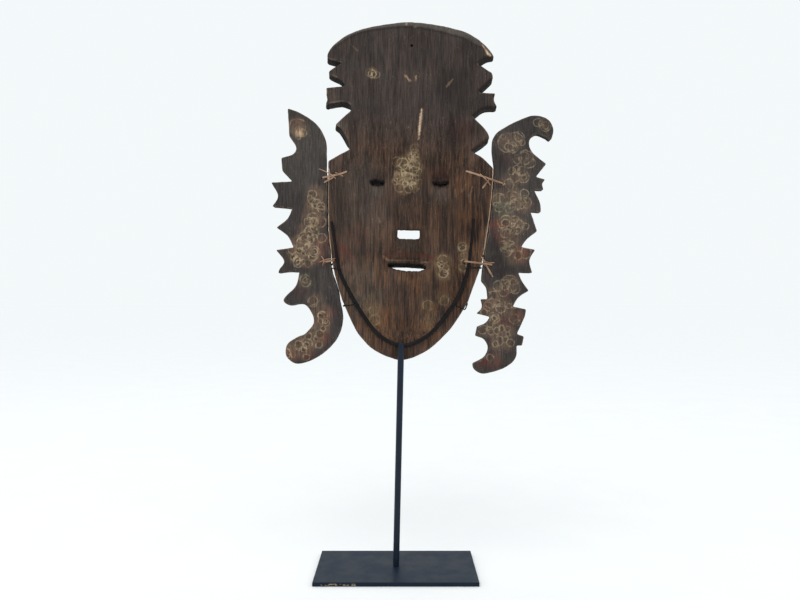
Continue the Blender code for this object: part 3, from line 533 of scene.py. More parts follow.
def nearest(points, others):
    """For each point, which of the others is nearest, and how far away it is."""
    tree = KDTree(len(others))
    for i, (x, z) in enumerate(others):
        tree.insert((x, z, 0), i)
    tree.balance()
    found = [tree.find((x, z, 0)) for x, z in points]
    return np.array([hit[1] for hit in found]), np.array([hit[2] for hit in found])


def edge_distance(points, loop):
    """Distance from each point to the nearest edge of a loop with close points."""
    closest = nearest(points, loop)[0]
    best = np.full(len(points), np.inf)
    for shift in (-1, 0):
        start = loop[(closest + shift) % len(loop)]
        along = loop[(closest + shift + 1) % len(loop)] - start
        offset = points - start
        share = np.clip((offset * along).sum(axis=1) / clear_of_zero((along**2).sum(axis=1)), 0.0, 1.0)
        best = np.minimum(best, np.linalg.norm(offset - share[:, None] * along, axis=1))
    return best


def hole_rounding(points, loops):
    """How far the rounded edges of the openings fall away at drawn points."""
    return sum(quarter_round(edge_distance(points, hole), HOLE_ROUNDING) for hole in loops[1:])


def ring(middle, half_width, half_height, count):
    """The points of an oval."""
    turn = 2 * np.pi * np.arange(count) / count
    return np.column_stack([middle[0] + half_width * np.cos(turn), middle[1] + half_height * np.sin(turn)])


def corner_room(loop, sign):
    """Distance along the loop from each point to the nearest sharp corner, convex (1) or concave (-1)."""
    reach = 3
    back = loop - np.roll(loop, reach, axis=0)
    ahead = np.roll(loop, -reach, axis=0) - loop
    turn = np.arctan2(back[:, 0] * ahead[:, 1] - back[:, 1] * ahead[:, 0], (back * ahead).sum(axis=1))
    corners = np.flatnonzero(sign * turn > 0.6)
    place = np.arange(len(loop))
    apart = np.abs(place[:, None] - corners[None, :])
    apart = np.minimum(apart, len(loop) - apart)
    return apart.min(axis=1) * EDGE_STEP


def sheet(loops, rows, spacing):
    """A flat triangulation inside the first loop and outside the others: its points and its triangles.

    The loops' points come first, in order. rows are distances inward from the edges, where points are kept
    close together for the rounded edge.
    """
    fixed = np.vstack(loops)
    rest = []
    for row in rows:
        near = []
        for number, loop in enumerate(loops):
            if number and row > 1.0:
                continue
            loop = counterclockwise(loop)
            near.append(loop + outward(loop) * (row if number else -row))
        near = np.vstack(near)
        rest.append(near[nearest(near, fixed)[1] > row * 0.93])
    rest = np.vstack(rest)
    low, high = loops[0].min(axis=0), loops[0].max(axis=0)
    grid = []
    for i, z in enumerate(np.arange(low[1] + spacing / 2, high[1], spacing * 0.87)):
        x = np.arange(low[0] + spacing / 2 + (i % 2) * spacing / 2, high[0], spacing)
        grid.append(np.column_stack([x, np.full(len(x), z)]))
    grid = np.vstack(grid)
    jitter = np.random.default_rng(7).uniform(-0.12, 0.12, grid.shape)
    grid = grid + spacing * jitter
    grid = grid[on_board(grid, loops)]
    fixed = np.vstack([fixed, rest[on_board(rest, loops)]])
    points = np.vstack([fixed, grid[nearest(grid, fixed)[1] > spacing * 0.55]])
    edges = []
    first = 0
    for loop in loops:
        size = len(loop)
        edges += [(first + i, first + (i + 1) % size) for i in range(size)]
        first += size
    found = delaunay_2d_cdt([Vector(p) for p in points], edges, [], 0, 1e-7)
    flat = np.array([tuple(p) for p in found[0]])
    triangles = np.array([tuple(t) for t in found[2]])
    place_of = {old: new for new, olds in enumerate(found[3]) for old in olds}
    kept = triangles[on_board(flat[triangles].mean(axis=1), loops)]
    return flat, kept, [place_of[i] for i in range(first)]


def board(rings, back, front, rows, spacings):
    """A carved board: its points (x, y, z), its faces, and the zone of each point.

    Zone 0 is the back, 1 the walls and 2 the front.

    rings holds, for each loop, its outlines from back to front with the depth of each point. The first loop
    is the board's own edge and the others are openings.
    """
    points, faces, ends, zone = [], [], [], []
    for side, depth in enumerate((back, front)):
        loops = [steps[-side][0] for steps in rings]
        flat, triangles, order = sheet(loops, rows, spacings[side])
        first = len(points)
        y = depth(flat, loops)
        points += list(np.column_stack([flat[:, 0], y, flat[:, 1]]))
        zone += [2 * side] * len(flat)
        faces += [tuple(first + i for i in (t if side == 0 else t[::-1])) for t in triangles]
        ends.append([first + i for i in order])
    start = 0
    for number, steps in enumerate(rings):
        count = len(steps[0][0])
        levels = [ends[0][start : start + count]]
        for flat, y in steps[1:-1]:
            levels.append(list(range(len(points), len(points) + count)))
            points += list(np.column_stack([flat[:, 0], y, flat[:, 1]]))
            zone += [1] * count
        levels.append(ends[1][start : start + count])
        for near, far in zip(levels, levels[1:]):
            for i in range(count):
                j = (i + 1) % count
                wall = (near[i], near[j], far[j], far[i])
                faces.append(wall[::-1] if number == 0 else wall)
        start += count
    points, zone = np.array(points), np.array(zone)
    used = np.zeros(len(points), bool)
    used[[i for face in faces for i in face]] = True
    new_place = np.cumsum(used) - 1
    return points[used], [tuple(int(new_place[i]) for i in face) for face in faces], zone[used]


def opening(back_loop, front_loop, back_y, front_y, levels=4):
    """The walls of an opening, from its back outline to its front one."""
    back_loop, front_loop = counterclockwise(back_loop), counterclockwise(front_loop)
    steps = [(back_loop, None)]
    for i in range(1, levels):
        share = i / levels
        flat = back_loop * (1 - share) + front_loop * share
        steps.append((flat, np.full(len(flat), back_y * (1 - share) + front_y * share)))
    return [*steps, (front_loop, None)]


def cut_outline(start, strokes, size, seed):
    """A closed outline, evened, with its corners rubbed round and the unevenness of the knife."""
    loop = counterclockwise(closed_outline(start, strokes, EDGE_STEP))
    return knife_cut(worn(even(loop, EDGE_STEP), 2), size, seed)


def mask_outline():
    crown = (CROWN_AND_LOBES[0][1:], *CROWN_AND_LOBES[1:])
    strokes = (*crown, RIGHT_SIDE[1:], *CHIN, LEFT_SIDE[1:], *LEFT_LOBES)
    return cut_outline(CROWN_AND_LOBES[0][0], strokes, 0.35, 31)


def x_at(side, height, points):
    """The x at a height on the line through those points that lie on the left (-1) or the right (1)."""
    points = sorted((p for p in points if p[0] * side > 0), key=lambda p: p[1])
    return float(np.interp(height, [p[1] for p in points], [p[0] for p in points]))


def ear_outline(side):
    """An ear's outline, whose inner edge follows the mask's own at a small gap."""
    low, high = RIGHT_EAR_FOLLOWS if side > 0 else LEFT_EAR_FOLLOWS
    heights = np.linspace(high, low, 25)
    closer = 1.6 * ramp(np.abs(heights - 116), 7, 15) * ramp(heights, low, low + 8)
    sides = RIGHT_SIDE + LEFT_SIDE
    edge = [(x_at(side, z, sides) + side * (EAR_GAP - less), z) for z, less in zip(heights, closer)]
    strokes = (*(RIGHT_EAR if side > 0 else LEFT_EAR), (edge[0],), edge[1:])
    return cut_outline(edge[-1], strokes, 0.3, 41 + side)


MASK_OUTLINE = mask_outline()
LOWER_EDGE = {*CHIN[0], *RIGHT_SIDE, *LEFT_SIDE}


def edge_form(points):
    """Width and depth of the rounding along the mask's back edge at drawn points."""
    x, z = points[:, 0], points[:, 1]
    crown = ramp(z, 392, 406) * (1 - 0.8 * ramp(x, 85, 104))
    lobes = ramp(z, 255, 265) * (1 - crown)
    lower = 1 - ramp(z, 85, 120)
    wide = 7.5 + 2.5 * np.clip(x / 60, -1.0, 1.0)
    width = 1.2 + (wide - 1.2) * crown + 2.3 * lower - 0.4 * lobes
    return width, 1.3 + 4 * crown + 1.0 * lower - 0.4 * lobes


def in_form(points, middle, form):
    """0 in the middle of an oval form, 1 on its edge, and more outside it."""
    return np.hypot((points[:, 0] - middle[0]) / form[0], (points[:, 1] - middle[1]) / form[1])


def arch_share(points):
    """1 along the middle of the groove over the mouth, 0 outside it."""
    return streak(points, ARCH, (1.6, 3.4, 4.2, 4.2, 3.4, 1.6))


def back_depth(points, loops):
    """The y of the hollow back at drawn points: rim, hollow, chisel cuts and the rounded edges."""
    x, z = points[:, 0], points[:, 1]
    rim = 10 + 12 * np.exp(-((z / 40) ** 2))
    inward = edge_distance(points, loops[0])
    fade = 1 - soft_ramp(z, 235, 330)
    depth = HOLLOW * crown_curve((inward - rim) / 34) * fade
    for middle, line, half, above, below, cut in CUTS:
        across = 1 - soft_ramp(np.abs(x - middle), half - 3.2, half + 3.2)
        along = 1 - np.where(z > line, soft_ramp(z, line, line + above), soft_ramp(-z, -line, below - line))
        depth = depth + cut * across * along
    depth = depth + 1.3 * arch_share(points)
    for middle, form, sink in SCOOPS:
        depth = depth + sink * (1 - soft_ramp(in_form(points, middle, form), 0.35, 1.0))
    depth = depth + 6 * ramp(x, 78, 112) * ramp(z, 262, 292)
    width, fall = edge_form(points)
    left = np.clip(1 - inward / width, 0.0, 1.0)
    depth = depth + fall * (0.6 * left**1.4 + 0.4 * (1 - np.sqrt(1 - left**2)))
    depth = depth + hole_rounding(points, loops)
    scoops = 0.30 * value_noise(x / 9, z / 34, 3) + 0.16 * value_noise(x / 3.2, z / 17, 4)
    flutes = 0.10 * value_noise(x / 1.9, z / 30, 5)
    return MASK_BACK + depth + (scoops + flutes) * ramp(inward, 0, 3)


def nose_rise(points):
    """How far the nose stands out of the face, most at its foot."""
    x, z = points[:, 0], points[:, 1]
    up = ramp(z, *NOSE_SPAN)
    half = NOSE_HALF_WIDTHS[0] + (NOSE_HALF_WIDTHS[1] - NOSE_HALF_WIDTHS[0]) * up
    across = 1 - soft_ramp(np.abs(x - MIDLINE), 0.25 * half, 1.08 * half)
    top = 1 - soft_ramp(z, NOSE_SPAN[1] - 8, NOSE_SPAN[1] + 6)
    return NOSE_HEIGHT * (1 - 0.8 * up) * top * across * ramp(z, NOSE_SPAN[0] - 7, NOSE_SPAN[0])


def front_relief(points):
    """How far the nose, the eyes, the brows and the lips stand out of the face or sink into it."""
    z = points[:, 1]
    depth = nose_rise(points)
    for middle in EYES:
        share = in_form(points, middle, EYE_FORM)
        depth = depth - 4 * (1 - soft_ramp(share, 1.0, 1.7))
        depth = depth + 8 * np.clip(1 - share**2, 0.0, 1.0)
        brow = in_form(points, (middle[0], middle[1] + 4), (31, 19))
        over = soft_ramp(z, middle[1] + 8, middle[1] + 16)
        depth = depth + 5 * (1 - soft_ramp(np.abs(brow - 1.25), 0.06, 0.42)) * over
    lips = in_form(points, LIPS_AT, LIPS_FORM)
    return depth + 7 * (1 - soft_ramp(np.abs(lips - 0.55), 0.05, 0.5))


def front_depth(points, loops):
    """The y of the carved front at drawn points."""
    x, z = points[:, 0], points[:, 1]
    inward = edge_distance(points, loops[0])
    face = FACE_BULGE * crown_curve(inward / 75) * (1 - 0.75 * soft_ramp(z, 255, 330))
    depth = BOARD + face + front_relief(points)
    for line in BORDER_CUTS:
        depth = depth - 0.9 * (1 - soft_ramp(np.abs(inward - line), 0.3, 1.5))
    depth = depth - quarter_round(inward, MASK_ROUNDING) - hole_rounding(points, loops)
    scoops = 0.5 * value_noise(x / 7, z / 15, 13) + 0.2 * value_noise(x / 3, z / 10, 14)
    return MASK_BACK + depth - scoops * ramp(inward, 0, 3)


def mask_walls():
    """The mask's edge from its back outline to its front one, wider in front under the left lobes."""
    loop = MASK_OUTLINE
    away = outward(loop)
    x, z = loop[:, 0], loop[:, 1]
    left = ramp(-x, 50, 65) * ramp(z, 260, 268) * (1 - ramp(z, 392, 398))
    under = left * ramp(-away[:, 1], -0.4, 0.3) * ramp(-away[:, 0], -0.6, 0.1)
    lowest = 1 - ramp(np.abs(z - 287), 16, 24)
    prong = 1 - ramp(np.abs(z - 326), 6, 14)
    flare = under * (2.4 + 2.2 * lowest + 1.7 * prong)
    flare = flare + 1.6 * ramp(-away[:, 1], 0.1, 0.6) * ramp(z, 262, 275) * ramp(x, 50, 65)
    flare = np.minimum(flare, 0.2 + 0.5 * corner_room(loop, -1))
    flare = worn(flare, 3)
    back_y = back_depth(loop, [loop, *[hole[0][0] for hole in mask_openings()]])
    front_y = MASK_BACK + BOARD - MASK_ROUNDING
    steps = [(loop, None)]
    for share in MASK_WALL_SHARES:
        rough = 0.22 * (edge_noise(len(loop), 5, 51, share * 9) - 0.5)
        flat = loop + away * (flare * share + rough - 0.1)[:, None]
        steps.append((flat, back_y * (1 - share) + front_y * share))
    steps.append((loop + away * flare[:, None], None))
    return steps


def ragged(loop, size, seed):
    """An opening's outline, evened, with a little raggedness left by the knife."""
    loop = counterclockwise(closed_outline(loop[-1], [(p,) for p in loop], RAGGED_STEP))
    loop = worn(even(loop, RAGGED_STEP), 1)
    shift = size * (edge_noise(len(loop), 2.2, seed, step=RAGGED_STEP) - 0.5)
    return loop + outward(loop) * shift[:, None]


def mask_openings():
    """The walls of the eye slots, nose slot, mouth, hanging hole and tie holes, in that order."""
    found = []
    thick = MASK_BACK + BOARD
    for seed, eye in ((61, LEFT_EYE), (62, RIGHT_EYE)):
        loop = ragged(np.array(eye, float), 1.3, seed)
        found.append(opening(loop, loop - (0, EYE_DROP), 22, thick + 16, 5))
    left, right, low, high = NOSE_SLOT
    turn = np.radians([180, 210, 240, 270])
    corner = [(left + 4 + 4 * math.cos(a), low + 4 + 4 * math.sin(a)) for a in turn]
    nose = [*corner, *[(right + left - x, z) for x, z in reversed(corner)], (right, high), (left, high)]
    nose = ragged(np.array(nose, float), 0.5, 63)
    found.append(opening(nose, nose + (0, 1), 24, thick + 18, 5))
    mouth = ragged(np.array(MOUTH, float), 0.7, 64)
    low = mouth[:, 1].min()
    pinched = np.column_stack([mouth[:, 0], low + (mouth[:, 1] - low) * MOUTH_PINCH])
    found.append(opening(mouth, pinched, 22, thick + 14, 5))
    x, z, radius = HANGING_HOLE
    hanging = ring((x, z), radius, radius, 18)
    found.append(opening(hanging, hanging, MASK_BACK + 1, thick))
    for side, in_mask, _, _ in TIES.values():
        hole = strand_hole(in_mask, side)
        found.append(opening(hole, hole, MASK_BACK + 1, thick))
    return found


def strand_hole(middle, way):
    """The hole round a strand, which lies against the side of its hole that the pull brings it to."""
    return ring((middle[0] + way * 0.3 * TIE_HOLE, middle[1]), 1.5, 1.6, 18)


def placed(name, data):
    """A new object in the scene."""
    made = bpy.data.objects.new(name, data)
    bpy.context.scene.collection.objects.link(made)
    return made


def finished(name, points, faces, material):
    """A piece of the object at its world place, with its material and its node's place in the frame."""
    mesh = bpy.data.meshes.new(name)
    mesh.from_pydata([tuple(p) for p in points], [], faces)
    mesh.validate()
    mesh.update()
    mesh.shade_smooth()
    mesh.materials.append(material)
    made = placed(name, mesh)
    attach(made, "root")
    return made


def give(mesh, name, values, domain="POINT"):
    """A vector for each point or face of the mesh, which its material reads."""
    layer = mesh.attributes.new(name, "FLOAT_VECTOR", domain)
    layer.data.foreach_set("vector", np.asarray(values, np.float32).ravel())


def spots(points, places, soft=0.45):
    """0 to 1: how far each point lies in round spots with soft edges."""
    value = np.zeros(len(points))
    for x, z, radius, strength in places:
        share = np.hypot(points[:, 0] - x, points[:, 1] - z) / radius
        value = np.maximum(value, strength * (1 - soft_ramp(share, 1 - soft, 1 + soft)))
    return value


def streak(points, route, widths):
    """0 to 1: how far each point lies in a streak along a route, with a width at each of its points."""
    route = np.array(route, float)
    value = np.zeros(len(points))
    for start, end, w0, w1 in zip(route, route[1:], widths, widths[1:]):
        along = end - start
        share = np.clip(((points - start) @ along) / (along @ along), 0.0, 1.0)
        gap = np.linalg.norm(points - start - share[:, None] * along, axis=1)
        width = w0 + (w1 - w0) * share
        value = np.maximum(value, 1 - soft_ramp(gap / width, 0.55, 1.1))
    return value


def streaks(points, places):
    """0 to 1: how far each point lies in streaks of different strengths."""
    return np.max([strength * streak(points, route, widths) for route, widths, strength in places], axis=0)


def more_rings(places, known, seed):
    """The known rings and more of them, strewn over the ochre places."""
    random = np.random.default_rng(seed)
    rings = list(known)
    for x, z, radius, strength in places:
        for _ in range(round(radius * radius * strength / 40)):
            turn, reach = random.uniform(0, 2 * math.pi), radius * math.sqrt(random.uniform(0, 0.95))
            size = random.uniform(3.0, 6.6)
            rings.append((x + reach * math.cos(turn), z + reach * math.sin(turn), size))
    return rings


def give_rings(made, drawn, faces, zone, rings):
    """For each face on the back, the four rings whose lines pass nearest, as world x, world z and radius."""
    rings = np.array(rings, float)
    middles = np.array([drawn[list(face)].mean(axis=0) for face in faces])
    on_back = np.array([zone[list(face)].max() < 2 for face in faces])
    centres = to_world(np.column_stack([rings[:, 0], np.zeros(len(rings)), rings[:, 1]]))
    chosen = np.column_stack([centres[:, 0], centres[:, 2], rings[:, 2] * MM])
    apart = np.hypot(middles[:, 0, None] - rings[:, 0], middles[:, 2, None] - rings[:, 1])
    gap = np.abs(apart - rings[:, 2])
    order = np.argsort(gap, axis=1)[:, :4]
    for layer in range(4):
        pick = order[:, layer]
        near = on_back & (gap[np.arange(len(faces)), pick] < 5.0)
        values = np.where(near[:, None], chosen[pick], (0.0, 0.0, -1.0))
        give(made.data, f"ring_{layer + 1}", values, "FACE")


class Graph:
    """A material's nodes, with short calls for the kinds used here."""

    def __init__(self, name):
        self.material = bpy.data.materials.new(name)
        self.material.use_nodes = True
        self.tree = self.material.node_tree
        self.shader = self.tree.nodes["Principled BSDF"]
        self.place = self.node("ShaderNodeTexCoord").outputs["Object"]

    def node(self, kind, **settings):
        made = self.tree.nodes.new(kind)
        for key, value in settings.items():
            setattr(made, key, value)
        return made

    def put(self, socket, value):
        if isinstance(value, bpy.types.NodeSocket):
            self.tree.links.new(value, socket)
        elif isinstance(value, (tuple, list)) and len(value) == 3 and socket.type == "RGBA":
            socket.default_value = (*value, 1.0)
        else:
            socket.default_value = value

    def maths(self, operation, a, b=0.0, clamp=False):
        made = self.node("ShaderNodeMath", operation=operation, use_clamp=clamp)
        self.put(made.inputs[0], a)
        self.put(made.inputs[1], b)
        return made.outputs[0]

    def vector(self, operation, a, b=(0.0, 0.0, 0.0)):
        made = self.node("ShaderNodeVectorMath", operation=operation)
        self.put(made.inputs[0], a)
        self.put(made.inputs[1], b)
        return made.outputs["Value" if operation == "DISTANCE" else "Vector"]

    def times(self, a, b):
        return self.maths("MULTIPLY", a, b)

    def weighed(self, *terms):
        """The sum of values, each times its weight."""
        total = 0.0
        for value, weight in terms:
            total = self.maths("ADD", total, self.times(value, weight))
        return total

    def combine(self, *parts):
        made = self.node("ShaderNodeCombineXYZ")
        for socket, part in zip(made.inputs, parts):
            self.put(socket, part)
        return made.outputs[0]

    def split(self, vector):
        made = self.node("ShaderNodeSeparateXYZ")
        self.put(made.inputs[0], vector)
        return made.outputs

    def noise(self, scale, detail=3.0, roughness=0.55, offset=0.0, place=None, colour=False):
        """Noise with its own number of changes per metre along x, y and z."""
        spread = self.vector("MULTIPLY", place or self.place, scale)
        spread = self.vector("ADD", spread, (offset, offset * 0.7, -offset))
        made = self.node("ShaderNodeTexNoise")
        self.put(made.inputs["Vector"], spread)
        made.inputs["Scale"].default_value = 1.0
        made.inputs["Detail"].default_value = detail
        made.inputs["Roughness"].default_value = roughness
        return made.outputs["Color" if colour else "Fac"]

    def step(self, value, low, high, to_low=0.0, to_high=1.0):
        made = self.node("ShaderNodeMapRange", interpolation_type="SMOOTHSTEP")
        keys = ("Value", "From Min", "From Max", "To Min", "To Max")
        for key, number in zip(keys, (value, low, high, to_low, to_high)):
            self.put(made.inputs[key], number)
        return made.outputs["Result"]

    def mix(self, share, a, b, blend="MIX"):
        made = self.node("ShaderNodeMix", data_type="RGBA", blend_type=blend)
        self.put(made.inputs["Factor"], share)
        self.put(made.inputs[6], a)
        self.put(made.inputs[7], b)
        return made.outputs[2]

    def laid(self, colour, share, pattern, tone):
        """The colour with a tone laid over it, as far as a share and the steps of a pattern say."""
        return self.mix(self.maths("MULTIPLY", share, self.step(*pattern), clamp=True), colour, tone)

    def read(self, name):
        """The three numbers of a vector that the mesh holds."""
        return self.split(self.node("ShaderNodeAttribute", attribute_name=name).outputs["Vector"])

    def bump(self, height, strength, distance):
        made = self.node("ShaderNodeBump")
        made.inputs["Strength"].default_value = strength
        made.inputs["Distance"].default_value = distance
        self.put(made.inputs["Height"], height)
        self.put(self.shader.inputs["Normal"], made.outputs["Normal"])


def ring_marks(g, ground):
    """The broken lines of the ring stains and the curls between them, and the small rings' dark cores."""
    warp = g.vector("SUBTRACT", g.noise((110, 110, 110), 3, 0.6, 29, colour=True), (0.5, 0.5, 0.5))
    warp = g.vector("SCALE", warp)
    warp.node.inputs["Scale"].default_value = 0.0062
    at = g.split(g.vector("ADD", g.place, warp))
    flat = g.combine(at[0], at[2])
    loops, cores = 0.0, 0.0
    for layer in range(4):
        x, z, radius = g.read(f"ring_{layer + 1}")
        from_middle = g.vector("DISTANCE", flat, g.combine(x, z))
        gap = g.maths("ABSOLUTE", g.maths("SUBTRACT", from_middle, radius))
        loops = g.maths("MAXIMUM", loops, g.step(gap, 0.0002, 0.0012, 1.0, 0.0))
        within = g.maths("SUBTRACT", radius, from_middle)
        small = g.times(g.step(radius, 0.0052, 0.0058, 1.0, 0.0), g.step(within, 0.0005, 0.0018))
        cores = g.maths("MAXIMUM", cores, small)
    web = g.node("ShaderNodeTexVoronoi", voronoi_dimensions="2D", feature="F1")
    g.put(web.inputs["Vector"], flat)
    web.inputs["Scale"].default_value = 118.0
    curls = g.maths("ABSOLUTE", g.maths("SUBTRACT", web.outputs["Distance"], 0.40))
    curls = g.times(g.step(curls, 0.02, 0.085, 0.28, 0.0), ground)
    broken = g.step(g.noise((170, 170, 170), 4, 0.7, 37), 0.40, 0.60, 0.08, 1.0)
    return g.times(g.maths("MAXIMUM", loops, curls), broken), cores


def wood(name, dark, mid, warm, grey, ochre, faint):
    """Old carved wood: upright grain, ring stains, red and green traces, rubbed places, paler lines along the
    edges, dirt with painted shade and dust with painted light.
    """
    g = Graph(name)
    stain, red, pale = g.read("marks")
    warmth, dirt_and_shade, ash = g.read("tones")
    inward, green, dust_and_light = g.read("wear_and_light")
    broad = g.noise((110, 60, 12), 3, 0.6, 3)
    grain = g.noise((470, 220, 26), 4, 0.62, 11)
    fibre = g.noise((1300, 700, 60), 3, 0.6, 5)
    cloud = g.noise((30, 30, 24), 4, 0.6, 8)
    mottle = g.noise((150, 150, 110), 4, 0.65, 9)
    fleck = g.noise((900, 900, 420), 2, 0.5, 17)
    lines = g.noise((820, 400, 24), 3, 0.7, 23)
    blotch = g.noise((22, 22, 15), 3, 0.55, 41)
    body = g.weighed((grain, 0.55), (broad, 0.45))
    body = g.weighed((body, 0.72), (blotch, 0.28))
    colour = g.mix(g.step(body, 0.36, 0.64), dark, mid)
    colour = g.laid(colour, warmth, (g.weighed((grain, 0.6), (cloud, 0.4)), 0.42, 0.60), warm)
    colour = g.laid(colour, ash, (cloud, 0.25, 0.7, 0.55, 1.0), grey)
    colour = g.mix(g.step(lines, 0.30, 0.44, 0.55, 0.0), colour, CRACK)
    # Dust, and painted light: the dome's bevel and the ramps under the openings are made paler where they
    # face up.
    colour = g.laid(colour, dust_and_light, (mottle, 0.25, 0.65, 0.45, 1.0), DUST_AND_LIGHT)
    ground = g.maths("MULTIPLY", g.step(stain, 0.0, 0.85), g.step(mottle, 0.30, 0.66, 0.35, 1.0), clamp=True)
    colour = g.mix(g.times(ground, 0.74), colour, ochre)
    colour = g.laid(colour, red, (mottle, 0.38, 0.60, 0.1, 0.75), RED_TRACE)
    colour = g.laid(colour, green, (mottle, 0.42, 0.62, 0.0, 0.85), GREEN_TRACE)
    loops, cores = ring_marks(g, ground)
    colour = g.mix(g.times(cores, g.times(stain, 0.75)), colour, RING_CORE)
    colour = g.mix(g.times(loops, g.step(stain, 0.45, 1.0, faint, 0.80)), colour, RING_LINE)
    colour = g.mix(g.step(fleck, 0.665, 0.76, 0.0, 0.55), colour, FLECK)
    rubbed = g.mix(g.step(pale, 0.82, 1.0), RUBBED, BARE_WOOD)
    colour = g.laid(colour, pale, (grain, 0.30, 0.52, 0.35, 1.0), rubbed)
    # A paler line along every edge.
    edge = g.times(g.step(inward, 0.0002, 0.0022, 0.55, 0.0), g.step(mottle, 0.42, 0.60))
    colour = g.mix(edge, colour, PALE_EDGE)
    # Dirt and painted shade: near black in the openings, dark in creases, on undersides and in sunken places.
    colour = g.laid(colour, dirt_and_shade, (cloud, 0.2, 0.6, 0.7, 1.0), GRIME_AND_SHADE)
    shade = g.times(g.step(fibre, 0.25, 0.75, 0.60, 1.38), g.step(body, 0.38, 0.62, 0.88, 1.14))
    colour = g.mix(1.0, colour, g.combine(shade, shade, shade), "MULTIPLY")
    g.put(g.shader.inputs["Base Color"], colour)
    g.put(g.shader.inputs["Roughness"], g.step(mottle, 0.3, 0.7, 0.62, 0.86))
    g.shader.inputs["Specular IOR Level"].default_value = 0.12
    height = g.weighed((fibre, 0.35), (grain, 0.8), (g.step(lines, 0.26, 0.42), 0.6), (mottle, 0.35))
    g.bump(height, 0.55, 0.0007)
    return g.material


def rattan():
    """Dry split rattan: fibres along each strand, uneven tan, and paler bare ends."""
    g = Graph("rattan")
    along, across, bare = g.read("lie")
    fibre = g.noise((60, 5200, 1), 3, 0.6, 2, place=g.combine(along, across))
    patch = g.noise((90, 90, 90), 3, 0.6, 6)
    colour = g.mix(g.step(patch, 0.3, 0.7), (0.22, 0.118, 0.064), (0.46, 0.280, 0.170))
    colour = g.mix(g.step(fibre, 0.35, 0.62, 0.55, 0.0), colour, (0.13, 0.065, 0.032))
    colour = g.mix(g.times(bare, 0.6), colour, (0.70, 0.50, 0.33))
    g.put(g.shader.inputs["Base Color"], colour)
    g.put(g.shader.inputs["Roughness"], g.step(fibre, 0.3, 0.7, 0.48, 0.70))
    g.bump(fibre, 0.5, 0.0002)
    return g.material


def steel(name, low, high, gloss):
    """Black painted steel with a fine bloom, a fine grit of paler specks and a few bare chips on the plate's
    edge.
    """
    g = Graph(name)
    cloud = g.noise((45, 45, 45), 4, 0.6, 4)
    grit = g.noise((1500, 1500, 1500), 2, 0.5, 7)
    colour = g.mix(g.step(cloud, 0.3, 0.7), low, high)
    colour = g.mix(g.step(grit, 0.66, 0.80, 0.0, 0.3), colour, (0.05, 0.055, 0.065))
    x, y, z = g.split(g.place)
    front = g.step(y, -0.0494, -0.0488, 1.0, 0.0)
    stretch = g.times(g.step(x, -0.091, -0.087), g.step(x, -0.048, -0.044, 1.0, 0.0))
    foot = g.times(g.step(z, 0.0008, 0.0020), g.step(z, 0.0030, 0.0040, 1.0, 0.0))
    chip = g.step(g.noise((230, 230, 420), 3, 0.6, 19), 0.50, 0.58)
    chip = g.times(g.times(front, stretch), g.times(foot, chip))
    colour = g.mix(g.times(chip, 0.85), colour, (0.40, 0.30, 0.18))
    g.put(g.shader.inputs["Base Color"], colour)
    g.put(g.shader.inputs["Roughness"], g.step(cloud, 0.3, 0.7, 0.36, 0.52))
    g.shader.inputs["Metallic"].default_value = 0.0
    g.shader.inputs["Specular IOR Level"].default_value = gloss
    g.bump(g.weighed((grit, 0.5), (cloud, 1.0)), 0.18, 0.0003)
    return g.material


def wall_dirt_and_shade(made, wall):
    """Darkening of the walls: some dirt all over them, and painted shade, strongest where they face down."""
    normals = np.empty(len(made.data.vertices) * 3)
    made.data.vertices.foreach_get("normal", normals)
    down = -normals.reshape(-1, 3)[:, 2]
    return np.where(wall, 0.30 + 1.2 * ramp(down, -0.2, 0.45), 0.0)


